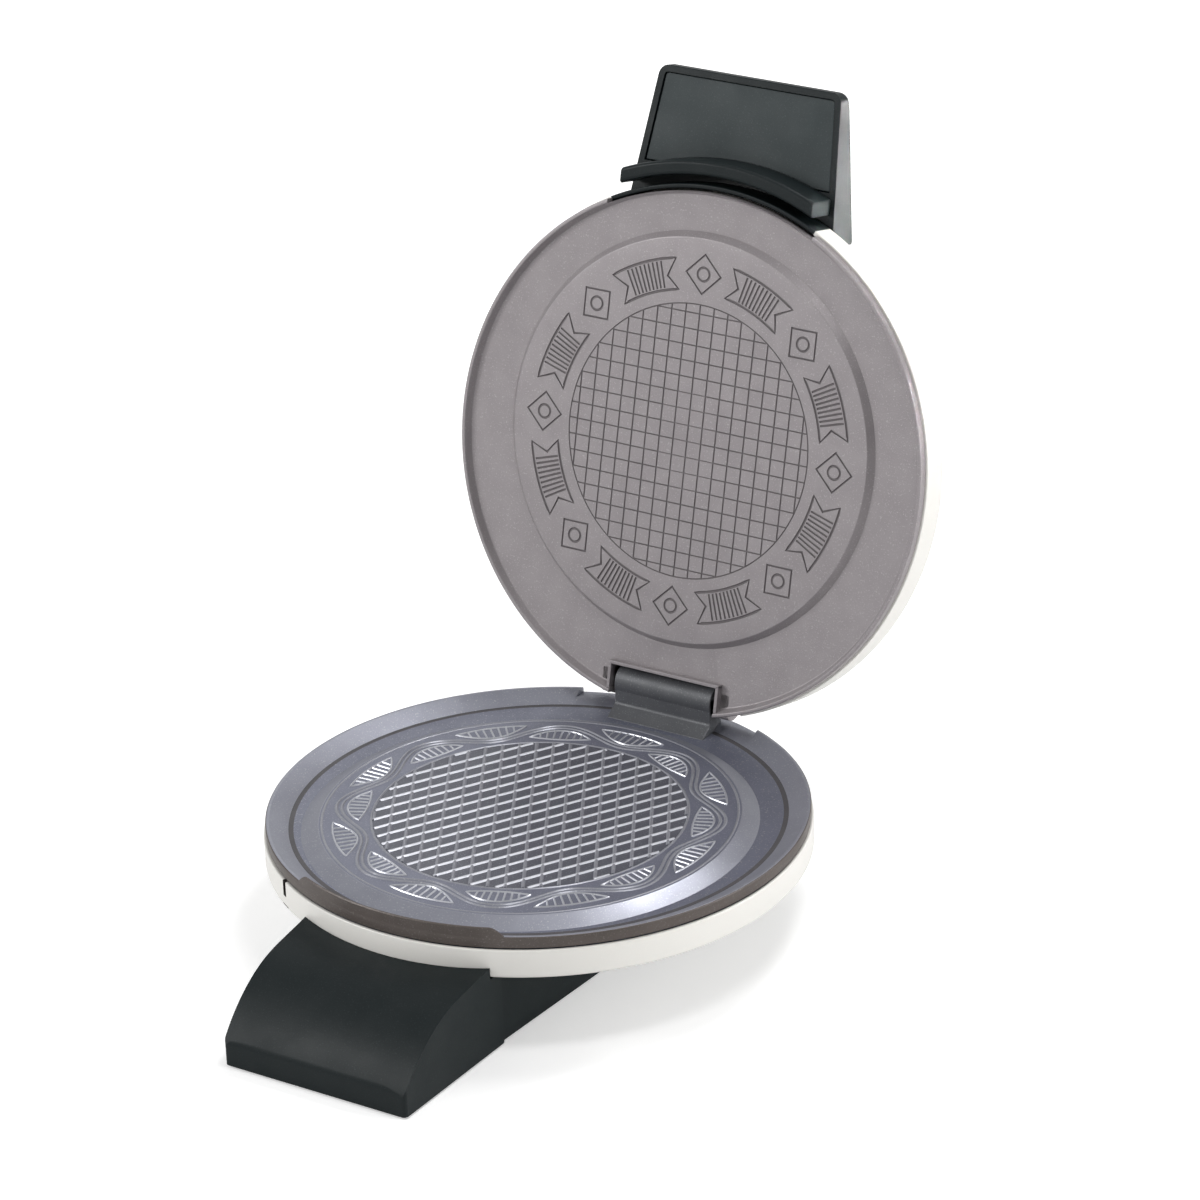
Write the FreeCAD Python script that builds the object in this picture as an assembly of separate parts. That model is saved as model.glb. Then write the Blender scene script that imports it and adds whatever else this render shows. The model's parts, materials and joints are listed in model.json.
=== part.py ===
import FreeCAD, Part
import os
from math import sin, sqrt, tan
from FreeCAD import Rotation, Vector

# A waffle cone maker: a round base on a wedge foot, and a hinged lid with a wedge handle.
# Millimetres, +Z up, front at -Y, hinge at the back. Each sub-part is one or more closed solids.

# Cooking plates
plate_radius = 118.0
plate_floor = 5.0
rim_height = 54.2
rim_land = 1.6
skirt_inset = 2.3
edge_round = 0.6
lower_side = 5.2
lower_rim_slope = 5.2
lower_trough = 4.5
lower_plateau_margin = 26.6
lower_plateau_slope = 7.7
lower_plateau_drop = 0.84
lower_plateau_shift = 6.5
upper_side = 4.4
upper_rim_slope = 1.6
upper_trough = 3.7
upper_plateau_margin = 27.5
upper_plateau_slope = 2.6
upper_plateau_drop = 0.6
upper_plateau_shift = 5.6
closed_gap = 0.3

# Raised lip at the front of the lower rim, and the room the lid leaves for it
lip_height = 4.0
lip_thick = 1.3
lip_half_top = 46.8
lip_half_foot = 51.8
lip_corner = 3.0
lip_clearance = 0.6

# Hinge
hinge_inset = 8.7
hinge_rise = 8.5
open_angle = 104.0
pin_radius = 2.5
pin_end = 1.6
running_gap = 0.05
barrel_radius = 7.4
barrel_half = 25.0
tab_height = 12.0
tab_lean = 0.7
tab_ramp = 6.9
notch_half = 27.2
notch_gap = 0.4
notch_border = 1.6
notch_border_drop = 0.3
ear_width = 6.0
ear_radius = 7.0
ear_reach = 16.0
washer_radius = 3.6
clip_thick = 0.8
side_play = 0.1
clip_clearance = 0.3
pin_room = 5.0
relief_half = 46.0
relief_depth = 2.4

# Base pan and pedestal
pan_overhang = 0.9
pan_wall = 1.8
pan_floor = 1.5
pan_height = 13.3
pan_gap = 0.6
pan_round = 2.0
slot_angle = 32.4
slot_width = 2.9
slot_depth = 7.3
pedestal_front_in = 16.0
pedestal_back_in = 20.0
pedestal_half_front = 45.4
pedestal_half_back = 57.0
pedestal_corner = 24.0
plastic_wall = 2.5
fit_gap = 0.3
wire_hole = 14.0

# Front foot
foot_reach = 55.0
foot_half_tip = 45.5
foot_half_back = 46.8
foot_lip = 11.0
foot_mid_run = 15.3
foot_mid_height = 26.4
foot_brow_run = 32.7
foot_brow_height = 35.2
foot_top_run = 50.0
foot_top_height = 38.3
foot_back_height = 43.0
foot_back_run = 75.0
foot_round = 2.0

# Underside
cover_thick = 2.0
pad_height = 1.0
pad_radius = 8.0
pad_stem = 2.5
pad_head = 4.0
pad_head_thick = 1.2
pad_front_in = 16.0
pad_back_in = 24.0
pad_side_in = 11.0

# Lid cover
cover_overhang = 1.0
cover_wall = 2.0
cover_edge = 4.6
cover_side = 14.9
cover_dome = 16.0
cover_round = 3.0
cut_half = 39.0
cut_in = 10.5
window_in = 26.5
window_depth = 17.5

# Handle
handle_reach = 47.5
handle_overlap = 18.5
handle_half_tip = 46.0
handle_half_root = 52.8
handle_face_tip = 24.1
handle_face_root = 17.8
handle_back_tip = 30.2
handle_back_bend = 31.7
handle_bend_run = 7.5
handle_back_root = 35.8
handle_corner = 5.0
handle_round = 1.6
handle_frame = 3.0
pocket_reach = 4.5
panel_thick = 2.2
panel_recess = 0.8
panel_gap = 0.4
guard_gap = 4.0
guard_thick = 6.5
guard_front = 3.1
guard_half = 49.0
guard_round = 1.0

# Heating elements and what holds them
heater_margin = 48.0
heater_tube = 3.25
heater_turn = 326.0
heater_side_gap = 0.25
heater_pin_radius = 1.6
heater_pin_length = 3.0
groove_depth = 3.5
clamp_span = 22.0
clamp_width = 8.0
clamp_thick = 1.2
clamp_foot = 4.0
clamp_angles = (90.0, 210.0, 330.0)
reflector_thick = 0.6
reflector_margin = 14.0
reflector_hole = 22.0
reflector_drop_lower = 5.5
reflector_drop_upper = 8.0
post_place = 34.0
post_radius = 4.5
post_shoulder = 6.5

# Fasteners
plate_screw_radius = 2.0
plate_screw_bite = 4.0
plate_screw_head = 4.0
screw_head_thick = 2.0
case_screw_radius = 1.5
case_screw_head = 3.0
screw_clearance = 0.2
cut_margin = 1.0
boss_radius = 4.0
boss_bite = 8.0

# Controls and wiring parts
thermostat_radius = 8.0
thermostat_height = 5.0
control_place = 58.0
control_boss_radius = 17.0
control_boss_height = 3.4
control_body_half = 13.0
control_body_height = 9.0
control_bush_radius = 5.0
control_hole_gap = 0.6
knob_radius = 13.5
knob_height = 8.0
knob_round = 1.2
knob_gap = 0.4
knob_pointer_width = 1.6
knob_pointer_depth = 0.8
shaft_radius = 3.0
shaft_socket = 5.0
lens_reach = 10.0
lens_radius = 3.5
lens_flange = 4.6
lens_flange_thick = 1.0
lamp_radius = 2.4
lamp_length = 9.0
lamp_gap = 0.7
terminal_length = 34.0
terminal_width = 16.0
terminal_height = 14.0
terminal_back_in = 40.0
inlet_radius = 5.0
inlet_bore = 3.6
inlet_flange = 8.0
inlet_flange_thick = 2.0
inlet_height = 18.0

# Radii and reaches that follow the plates
hinge_back = plate_radius - hinge_inset
lower_plateau_radius = plate_radius - lower_plateau_margin
upper_plateau_radius = plate_radius - upper_plateau_margin
pan_radius = plate_radius + pan_overhang
pedestal_front = plate_radius - pedestal_front_in
pedestal_back = plate_radius - pedestal_back_in
foot_tip = plate_radius + foot_reach
cover_radius = plate_radius + cover_overhang
cut_back = plate_radius - cut_in
window_back = plate_radius - window_in
handle_tip = plate_radius + handle_reach
handle_root = plate_radius - handle_overlap
handle_pocket_start = plate_radius + pocket_reach
lens_place = plate_radius + lens_reach
guard_inner = cover_radius + guard_gap
heater_radius = plate_radius - heater_margin
reflector_radius = plate_radius - reflector_margin

# Heights that follow from the sizes above
lower_under = rim_height - lower_trough - plate_floor
pan_top = rim_height - lower_side - pan_gap
pan_bottom = pan_top - pan_height
upper_under = -(upper_trough + plate_floor)
hinge_height = rim_height + hinge_rise
lid_hinge_n = closed_gap - hinge_rise
side_edge_n = -(cover_edge + cover_side)
crown_n = side_edge_n - cover_dome
X_AXIS = Vector(1, 0, 0)
Y_AXIS = Vector(0, 1, 0)
Z_AXIS = Vector(0, 0, 1)
ORIGIN = Vector(0, 0, 0)


def in_section(a, b):
    return Vector(a, 0, b)


def in_plan(a, b):
    return Vector(a, b, 0)


def in_side(a, b):
    return Vector(0, a, b)


def outline(corners, plane, bevelled=False):
    """A closed face from (a, b) corners; a third value rounds that corner, or bevels it."""
    points = [Vector(c[0], c[1], 0) for c in corners]
    radii = [c[2] if len(c) > 2 else 0 for c in corners]
    starts, ends, middles = [], [], []
    for i, corner in enumerate(points):
        before = (points[i - 1] - corner).normalize()
        after = (points[(i + 1) % len(points)] - corner).normalize()
        if radii[i] == 0:
            starts.append(corner)
            ends.append(corner)
            middles.append(None)
            continue
        half = before.getAngle(after) / 2
        reach = radii[i] / tan(half)
        centre = corner + (before + after).normalize() * (radii[i] / sin(half))
        starts.append(corner + before * reach)
        ends.append(corner + after * reach)
        middles.append(centre + (corner - centre).normalize() * radii[i])
    edges = []
    for i in range(len(points)):
        if middles[i] is not None:
            arc = [plane(p.x, p.y) for p in (starts[i], middles[i], ends[i])]
            edges.append(Part.makeLine(arc[0], arc[2]) if bevelled else Part.Arc(*arc).toShape())
        run = (ends[i], starts[(i + 1) % len(points)])
        edges.append(Part.makeLine(*[plane(p.x, p.y) for p in run]))
    return Part.Face(Part.Wire(edges))


def turned(corners):
    return outline(corners, in_section, True).revolve(ORIGIN, Z_AXIS, 360)


def slab(corners, low, high):
    face = outline(corners, in_plan)
    face.translate(Vector(0, 0, low))
    return face.extrude(Vector(0, 0, high - low))


def across(corners, half):
    face = outline(corners, in_side)
    face.translate(Vector(-half, 0, 0))
    return face.extrude(Vector(2 * half, 0, 0))


def block(low, high):
    size = Vector(*high) - Vector(*low)
    return Part.makeBox(size.x, size.y, size.z, Vector(*low))


def rod(radius, start, axis, length):
    return Part.makeCylinder(radius, length, start, axis)


def mirrored(shape):
    return shape.mirror(ORIGIN, X_AXIS)


def pair(shape):
    return [shape, mirrored(shape)]


def four_places(reach_x, reach_y):
    return [(sx * reach_x, sy * reach_y) for sx in (-1, 1) for sy in (-1, 1)]


def disc_at(radius, x, y, low, high):
    return rod(radius, Vector(x, y, low), Z_AXIS, high - low)


def moved(shape, x, y, z):
    copy = shape.copy()
    copy.translate(Vector(x, y, z))
    return copy


base = {}
lid = {}
knob = {}


def plate_body(side, rim_slope, trough, under, land_top):
    """The turned plate: rim, sloped inner wall, trough and skirt, rim top at land_top."""
    inner_top = plate_radius - rim_land
    inner_foot = inner_top - rim_slope
    skirt = plate_radius - skirt_inset
    return turned([
        (0, under), (skirt, under), (skirt, land_top - side), (plate_radius, land_top - side),
        (plate_radius, land_top, edge_round), (inner_top, land_top, edge_round),
        (inner_foot, land_top - trough, edge_round), (0, land_top - trough)])


def plateau(top_radius, slope, foot, top, shift):
    """The raised round field where the wafer bakes, with a sloped wall."""
    field = turned([(0, foot), (top_radius + slope, foot), (top_radius, top, edge_round), (0, top)])
    return moved(field, 0, shift, 0)


def heater_groove(under, depth):
    """An annular groove for the heating element, cut up from the plate's underside."""
    half = heater_tube + heater_side_gap
    outer = rod(heater_radius + half, Vector(0, 0, under), Z_AXIS, depth)
    return outer.cut(rod(heater_radius - half, Vector(0, 0, under), Z_AXIS, depth))


# Lower plate: cast aluminium, coated, with the hinge tab and barrel cast on at the back.
lower_plate = plate_body(lower_side, lower_rim_slope, lower_trough, lower_under, rim_height)
lower_plate = lower_plate.cut(block((-relief_half, 0, rim_height - relief_depth),
                                    (relief_half, plate_radius, rim_height)))
lower_field = plateau(lower_plateau_radius, lower_plateau_slope, rim_height - lower_trough,
                      rim_height - lower_plateau_drop, -lower_plateau_shift)
lip_ring = rod(plate_radius, Vector(0, 0, rim_height - edge_round), Z_AXIS, lip_height + edge_round)
lip_ring = lip_ring.cut(rod(plate_radius - lip_thick, Vector(0, 0, rim_height - edge_round), Z_AXIS,
                            lip_height + edge_round))
lip_shape = outline([(-lip_half_foot, rim_height - edge_round), (lip_half_foot, rim_height - edge_round),
                     (lip_half_foot, rim_height),
                     (lip_half_top, rim_height + lip_height, lip_corner),
                     (-lip_half_top, rim_height + lip_height, lip_corner),
                     (-lip_half_foot, rim_height)], in_section)
front_lip = lip_ring.common(lip_shape.extrude(Vector(0, -plate_radius, 0)))
notch_y = hinge_back - barrel_radius - notch_gap
tab_front = notch_y + notch_gap
tab_side = across([
    (tab_front - tab_ramp, rim_height - lower_trough), (tab_front, rim_height),
    (tab_front + tab_lean, rim_height + tab_height, edge_round),
    (hinge_back, rim_height + tab_height), (hinge_back, hinge_height),
    (hinge_back + barrel_radius / 2, lower_under), (tab_front - tab_ramp, lower_under)], barrel_half)
barrel = rod(barrel_radius, Vector(-barrel_half, hinge_back, hinge_height), X_AXIS, 2 * barrel_half)
lower_plate = lower_plate.fuse([lower_field, front_lip, tab_side, barrel]).removeSplitter()
lower_plate = lower_plate.cut(rod(pin_radius + running_gap, Vector(-barrel_half, hinge_back, hinge_height),
                                  X_AXIS, 2 * barrel_half))
lower_plate = lower_plate.cut(heater_groove(lower_under, groove_depth))
for x, y in four_places(post_place, post_place):
    lower_plate = lower_plate.cut(disc_at(plate_screw_radius + running_gap, x, y, lower_under,
                                          lower_under + plate_screw_bite + screw_clearance))
base["lower_plate"] = lower_plate

# Upper plate: cast aluminium, coated, with a notch for the hinge tab and an ear at each side of it.
upper_plate = plate_body(upper_side, upper_rim_slope, upper_trough, upper_under, 0)
upper_field = plateau(upper_plateau_radius, upper_plateau_slope, -upper_trough, -upper_plateau_drop,
                      upper_plateau_shift)
border_half = notch_half + notch_border
border = block((-border_half, -plate_radius, upper_under),
               (border_half, -notch_y + notch_border, -notch_border_drop))
border = border.common(rod(plate_radius - rim_land, Vector(0, 0, upper_under), Z_AXIS, -upper_under))
ear_back = upper_under - ear_radius + skirt_inset / 2
ear_side = across([
    (-hinge_back, lid_hinge_n), (-hinge_back + ear_reach, upper_under),
    (-hinge_back + ear_reach, ear_back, edge_round), (-hinge_back, lid_hinge_n - ear_radius)], ear_width / 2)
ear = ear_side.fuse(rod(ear_radius, Vector(-ear_width / 2, -hinge_back, lid_hinge_n), X_AXIS, ear_width))
ear = ear.cut(block((-ear_width, -plate_radius, -upper_trough), (ear_width, 0, closed_gap)))
ear = moved(ear, notch_half + ear_width / 2, 0, 0)
upper_plate = upper_plate.fuse([upper_field, border])
upper_plate = upper_plate.cut(block((-notch_half, -plate_radius, upper_under - ear_radius),
                                    (notch_half, -notch_y, closed_gap)))
upper_plate = upper_plate.fuse(pair(ear)).removeSplitter()
lip_room = rod(plate_radius + lip_clearance, Vector(0, 0, -upper_side), Z_AXIS, upper_side + closed_gap)
lip_room = lip_room.cut(rod(plate_radius - lip_thick - lip_clearance, Vector(0, 0, -upper_side), Z_AXIS,
                            upper_side + closed_gap))
lip_room_half = lip_half_foot + lip_clearance
upper_plate = upper_plate.cut(lip_room.common(block((-lip_room_half, 0, -upper_side),
                                                    (lip_room_half, plate_radius + cut_margin, closed_gap))))
ear_outer = notch_half + ear_width
upper_plate = upper_plate.cut(rod(pin_radius + running_gap, Vector(-ear_outer, -hinge_back, lid_hinge_n),
                                  X_AXIS, 2 * ear_outer))
clip_room = rod(washer_radius + clip_clearance, Vector(ear_outer, -hinge_back, lid_hinge_n), X_AXIS, pin_room)
for room in pair(clip_room):
    upper_plate = upper_plate.cut(room)
upper_plate = upper_plate.cut(heater_groove(upper_under, groove_depth))
for x, y in four_places(post_place, post_place):
    upper_plate = upper_plate.cut(disc_at(plate_screw_radius + running_gap, x, y, upper_under,
                                          upper_under + plate_screw_bite + screw_clearance))
lid["upper_plate"] = upper_plate

# Hinge pin, with a washer in each side gap and a spring clip at each end. They stay with the base.
pin_half = ear_outer + pin_room - pin_end
hinge_pin = rod(pin_radius, Vector(-pin_half, hinge_back, hinge_height), X_AXIS, 2 * pin_half)
base["hinge_pin"] = hinge_pin


def pin_ring(outer, start, length):
    tube = rod(outer, Vector(start, hinge_back, hinge_height), X_AXIS, length)
    return tube.cut(rod(pin_radius + running_gap, Vector(start, hinge_back, hinge_height), X_AXIS, length))


washer = pin_ring(washer_radius, barrel_half + side_play, notch_half - barrel_half - 2 * side_play)
base["hinge_washers"] = Part.makeCompound(pair(washer))
clip = pin_ring(washer_radius, ear_outer + side_play, clip_thick)
base["hinge_clips"] = Part.makeCompound(pair(clip))

# Base pan: the cream enamelled ring with a floor, and one narrow slot at the left of the front.
base_pan = turned([
    (0, pan_bottom), (pan_radius, pan_bottom, pan_round), (pan_radius, pan_top, edge_round),
    (pan_radius - pan_wall, pan_top, edge_round), (pan_radius - pan_wall, pan_bottom + pan_floor),
    (0, pan_bottom + pan_floor)])
slot = block((-slot_width / 2, -pan_radius - pan_wall, pan_top - slot_depth),
             (slot_width / 2, -pan_radius + 2 * pan_wall, pan_top))
slot.rotate(ORIGIN, Z_AXIS, -slot_angle)
base_pan = base_pan.cut(slot)
base_pan = base_pan.cut(disc_at(wire_hole, 0, 0, pan_bottom, pan_top))
for x, y in four_places(post_place, post_place):
    base_pan = base_pan.cut(disc_at(plate_screw_radius + screw_clearance, x, y, pan_bottom, pan_top))
pedestal_screw_places = four_places(post_place, 2 * post_place)
for x, y in pedestal_screw_places:
    base_pan = base_pan.cut(disc_at(case_screw_radius + running_gap, x, y, pan_bottom, pan_top))
base["base_pan"] = base_pan


def pedestal_half(y, inset):
    share = (y + pedestal_front) / (pedestal_front + pedestal_back)
    return pedestal_half_front + share * (pedestal_half_back - pedestal_half_front) - inset


def pedestal_plan(inset):
    front, back = -pedestal_front + inset, pedestal_back - inset
    corner = pedestal_corner - inset
    return [(-pedestal_half(front, inset), front), (pedestal_half(front, inset), front),
            (pedestal_half(back, inset), back, corner), (-pedestal_half(back, inset), back, corner)]


# Pedestal: a black moulded box under the pan, open at the bottom.
pedestal = slab(pedestal_plan(0), pad_height, pan_bottom)
pedestal = pedestal.cut(slab(pedestal_plan(plastic_wall), pad_height, pan_bottom - plastic_wall))
pedestal = pedestal.cut(disc_at(wire_hole, 0, 0, pad_height, pan_bottom))
cover_low = pad_height
cover_high = cover_low + cover_thick
boss_front = pedestal_front - plastic_wall - boss_radius - fit_gap
boss_back = pedestal_back - plastic_wall - boss_radius - fit_gap
cover_screw_places = [(sx * post_place, y) for sx in (-1, 1) for y in (-boss_front, boss_back)]
for x, y in cover_screw_places:
    boss = disc_at(boss_radius, x, y, cover_high, pan_bottom - plastic_wall)
    pedestal = pedestal.fuse(boss)
    pedestal = pedestal.cut(disc_at(case_screw_radius + running_gap, x, y, cover_high,
                                    cover_high + boss_bite))
for x, y in four_places(post_place, post_place):
    pedestal = pedestal.cut(disc_at(plate_screw_head + screw_clearance, x, y, cover_high, pan_bottom))
for x, y in pedestal_screw_places:
    pedestal = pedestal.cut(disc_at(case_screw_radius + screw_clearance, x, y, cover_high, pan_bottom))
foot_screw_x = pedestal_half_front / 2
foot_screw_z = pan_bottom / 2
foot_screw_hole = rod(case_screw_radius + screw_clearance,
                      Vector(foot_screw_x, -pedestal_front - plastic_wall, foot_screw_z), Y_AXIS,
                      2 * plastic_wall)
for hole in pair(foot_screw_hole):
    pedestal = pedestal.cut(hole)
inlet_start = Vector(0, pedestal_back - plastic_wall, inlet_height)
pedestal = pedestal.cut(rod(inlet_radius + running_gap, inlet_start, Y_AXIS, plastic_wall))
base["pedestal"] = pedestal.removeSplitter()


def foot_plan(inset):
    tip, back = -foot_tip + inset, -pedestal_front - inset
    return [(-foot_half_tip + inset, tip, foot_round), (foot_half_tip - inset, tip, foot_round),
            (foot_half_back - inset, back), (-foot_half_back + inset, back)]


def foot_block(inset, low):
    """The wedge: an upright lip at the tip, then a convex back that rises to the ring."""
    tip = -foot_tip + inset
    crest = [Vector(0, tip, foot_lip - inset / 2),
             Vector(0, tip + foot_mid_run, foot_mid_height - inset),
             Vector(0, tip + foot_brow_run, foot_brow_height - inset),
             Vector(0, tip + foot_top_run, foot_top_height - inset),
             Vector(0, tip + foot_back_run, foot_back_height - inset)]
    curve = Part.BSplineCurve()
    curve.interpolate(crest)
    corners = [crest[-1], Vector(0, crest[-1].y, low), Vector(0, tip, low), crest[0]]
    edges = [curve.toShape()] + [Part.makeLine(a, b) for a, b in zip(corners, corners[1:])]
    half = max(foot_half_tip, foot_half_back)
    face = Part.Face(Part.Wire(edges))
    face.translate(Vector(-half, 0, 0))
    side = face.extrude(Vector(2 * half, 0, 0))
    return side.common(slab(foot_plan(inset), low, foot_back_height))


# Front foot: a black moulded wedge, hollow and open below, cut to the ring's curve at the back.
pan_room = rod(pan_radius + fit_gap, Vector(0, 0, pan_bottom - fit_gap), Z_AXIS, pan_height)
inner_room = rod(pan_radius + fit_gap + plastic_wall, Vector(0, 0, pan_bottom - fit_gap - plastic_wall),
                 Z_AXIS, pan_height)
foot = foot_block(0, pad_height).cut(pan_room)
foot = foot.cut(foot_block(plastic_wall, pad_height).cut(inner_room))
for hole in pair(foot_screw_hole):
    foot = foot.cut(hole)
base["front_foot"] = foot

foot_screw = rod(case_screw_radius, Vector(foot_screw_x, -pedestal_front - plastic_wall, foot_screw_z),
                 Y_AXIS, 2 * plastic_wall)
foot_screw = foot_screw.fuse(rod(case_screw_head, Vector(foot_screw_x, -pedestal_front + plastic_wall,
                                                         foot_screw_z), Y_AXIS, screw_head_thick))
base["foot_screws"] = Part.makeCompound(pair(foot_screw))


# Bottom cover: one flat plate inside the walls of the pedestal and the foot.
inner = plastic_wall + fit_gap
bottom_cover = slab(pedestal_plan(inner), cover_low, cover_high)
tongue = slab(foot_plan(inner), cover_low, cover_high)
pad_front_y = -foot_tip + pad_front_in
pad_back_y = pedestal_back - pad_back_in
pad_front_x = foot_half_tip - pad_side_in
pad_back_x = pedestal_half(pad_back_y, pad_side_in)
pad_front = [(sx * pad_front_x, pad_front_y) for sx in (-1, 1)]
pad_back = [(sx * pad_back_x, pad_back_y) for sx in (-1, 1)]
for x, y in cover_screw_places:
    bottom_cover = bottom_cover.cut(disc_at(case_screw_radius + screw_clearance, x, y, cover_low, cover_high))
for x, y in pad_back:
    bottom_cover = bottom_cover.cut(disc_at(pad_stem + running_gap, x, y, cover_low, cover_high))
for x, y in pad_front:
    tongue = tongue.cut(disc_at(pad_stem + running_gap, x, y, cover_low, cover_high))
base["bottom_cover"] = bottom_cover
base["foot_cover"] = tongue

pads = []
for x, y in pad_front + pad_back:
    stem = disc_at(pad_stem, x, y, 0, cover_high + pad_head_thick)
    pad = disc_at(pad_radius, x, y, 0, pad_height).fuse(stem)
    pads.append(pad.fuse(disc_at(pad_head, x, y, cover_high, cover_high + pad_head_thick)).removeSplitter())
base["rubber_feet"] = Part.makeCompound(pads)

cover_screws = []
for x, y in cover_screw_places:
    head = disc_at(case_screw_head, x, y, cover_low - pad_height / 2, cover_low)
    cover_screws.append(head.fuse(disc_at(case_screw_radius, x, y, cover_low, cover_high + boss_bite)))
base["cover_screws"] = Part.makeCompound(cover_screws)

pedestal_screws = []
for x, y in pedestal_screw_places:
    seat = pan_bottom - plastic_wall
    head = disc_at(case_screw_head, x, y, seat - screw_head_thick, seat)
    pedestal_screws.append(head.fuse(disc_at(case_screw_radius, x, y, seat, pan_bottom + pan_floor)))
base["pedestal_screws"] = Part.makeCompound(pedestal_screws)


# Heating parts, the same in both halves: built hanging under z = 0, the plate's underside.
def heater():
    ring = Part.makeTorus(heater_radius, heater_tube, ORIGIN, Z_AXIS, -180, 180, heater_turn)
    ring.rotate(ORIGIN, Z_AXIS, -90 + (360 - heater_turn) / 2)
    return moved(ring, 0, 0, groove_depth - heater_tube - running_gap)


def heater_pins():
    pin = rod(heater_pin_radius, Vector(heater_radius, 0, groove_depth - heater_tube - running_gap),
              Vector(0, -1, 0), heater_pin_length)
    first = pin.copy()
    first.rotate(ORIGIN, Z_AXIS, -90 + (360 - heater_turn) / 2)
    return Part.makeCompound([first, mirrored(first)])


def heater_clamps():
    low = groove_depth - 2 * heater_tube - 2 * running_gap
    strap = block((heater_radius - clamp_span / 2, -clamp_width / 2, low - clamp_thick),
                  (heater_radius + clamp_span / 2, clamp_width / 2, low))
    legs = [block((side - clamp_foot / 2, -clamp_width / 2, low), (side + clamp_foot / 2, clamp_width / 2, 0))
            for side in (heater_radius - clamp_span / 2 + clamp_foot / 2,
                         heater_radius + clamp_span / 2 - clamp_foot / 2)]
    clamp = strap.fuse(legs).removeSplitter()
    clamps = []
    for angle in clamp_angles:
        copy = clamp.copy()
        copy.rotate(ORIGIN, Z_AXIS, angle)
        clamps.append(copy)
    return Part.makeCompound(clamps)


def reflector(drop):
    sheet = rod(reflector_radius, Vector(0, 0, -drop - reflector_thick), Z_AXIS, reflector_thick)
    sheet = sheet.cut(rod(reflector_hole, Vector(0, 0, -drop - reflector_thick), Z_AXIS, reflector_thick))
    for x, y in four_places(post_place, post_place):
        sheet = sheet.cut(disc_at(post_radius + screw_clearance, x, y, -drop - reflector_thick, -drop))
    return sheet


def posts(drop, length):
    made = []
    for x, y in four_places(post_place, post_place):
        post = disc_at(post_radius, x, y, -length, 0)
        post = post.fuse(disc_at(post_shoulder, x, y, -length, -drop - reflector_thick))
        bore = disc_at(plate_screw_radius + screw_clearance, x, y, -length, 0)
        made.append(post.cut(bore).removeSplitter())
    return Part.makeCompound(made)


def plate_screws(length):
    made = []
    for x, y in four_places(post_place, post_place):
        shank = disc_at(plate_screw_radius, x, y, -length, plate_screw_bite)
        made.append(shank.fuse(disc_at(plate_screw_head, x, y, -length - screw_head_thick, -length)))
    return Part.makeCompound(made)


def thermostat():
    return disc_at(thermostat_radius, 0, 0, -thermostat_height, 0)


def thermostat_strap():
    reach = thermostat_radius + clamp_foot
    low = -thermostat_height
    strap = block((-reach, -clamp_width / 2, low - clamp_thick), (reach, clamp_width / 2, low))
    leg = block((thermostat_radius + fit_gap, -clamp_width / 2, low), (reach, clamp_width / 2, 0))
    return strap.fuse(pair(leg)).removeSplitter()


lower_post = lower_under - pan_bottom - pan_floor
base["lower_heater"] = moved(heater(), 0, 0, lower_under)
base["lower_heater_pins"] = moved(heater_pins(), 0, 0, lower_under)
base["lower_heater_clamps"] = moved(heater_clamps(), 0, 0, lower_under)
base["lower_reflector"] = moved(reflector(reflector_drop_lower), 0, 0, lower_under)
base["lower_posts"] = moved(posts(reflector_drop_lower, lower_post), 0, 0, lower_under)
base["lower_plate_screws"] = moved(plate_screws(lower_post + pan_floor), 0, 0, lower_under)
base["lower_thermostat"] = moved(thermostat(), 0, 0, lower_under)
base["lower_thermostat_strap"] = moved(thermostat_strap(), 0, 0, lower_under)

# Terminal block on the bottom cover, and the bush where a mains lead enters at the back.
terminal_y = pedestal_back - terminal_back_in
base["terminal_block"] = block((-terminal_length / 2, terminal_y - terminal_width / 2, cover_high),
                               (terminal_length / 2, terminal_y + terminal_width / 2,
                                cover_high + terminal_height))
bush = rod(inlet_radius, inlet_start, Y_AXIS, plastic_wall)
bush = bush.fuse(rod(inlet_flange, inlet_start + Y_AXIS * plastic_wall, Y_AXIS, inlet_flange_thick))
bush = bush.cut(rod(inlet_bore, inlet_start, Y_AXIS, plastic_wall + inlet_flange_thick))
base["cord_inlet"] = bush.removeSplitter()

# Lid cover: the cream enamelled dome over the upper plate, cut away round the hinge.
dome_radius = (cover_radius ** 2 + cover_dome ** 2) / (2 * cover_dome)


def dome_n(r):
    """Height of the dome's outside at a distance r from the lid's axis."""
    return crown_n + dome_radius - sqrt(dome_radius ** 2 - r ** 2)


def cover_solid(grow):
    """Everything inside the cover's outer face, grown by a gap."""
    cap = Part.makeSphere(dome_radius + grow, Vector(0, 0, crown_n + dome_radius))
    drum = rod(cover_radius + grow, Vector(0, 0, crown_n - grow), Z_AXIS, -cover_edge - crown_n + 2 * grow)
    return drum.common(cap)


shell = cover_solid(0)
rim_edges = [edge for edge in shell.Edges
             if abs(edge.BoundBox.ZMax - side_edge_n) < edge_round and edge.BoundBox.ZLength < edge_round]
shell = shell.makeFillet(cover_round, rim_edges)
recess = block((-cut_half - cover_wall, -cover_radius, -window_depth - cover_wall),
               (cut_half + cover_wall, -window_back + cover_wall, upper_under - closed_gap))
lid_cover = shell.cut(cover_solid(-cover_wall).fuse(
    rod(cover_radius - cover_wall, Vector(0, 0, side_edge_n), Z_AXIS, cover_side)))
lid_cover = lid_cover.fuse(recess.common(shell))
hinge_far = -cover_radius - cut_margin
lid_cover = lid_cover.cut(block((-cut_half, hinge_far, -window_depth), (cut_half, -window_back, 0)))
lid_cover = lid_cover.cut(block((-cut_half, hinge_far, crown_n), (cut_half, -cut_back, 0)))
control_seat = dome_n(control_place) - control_boss_height
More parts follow.
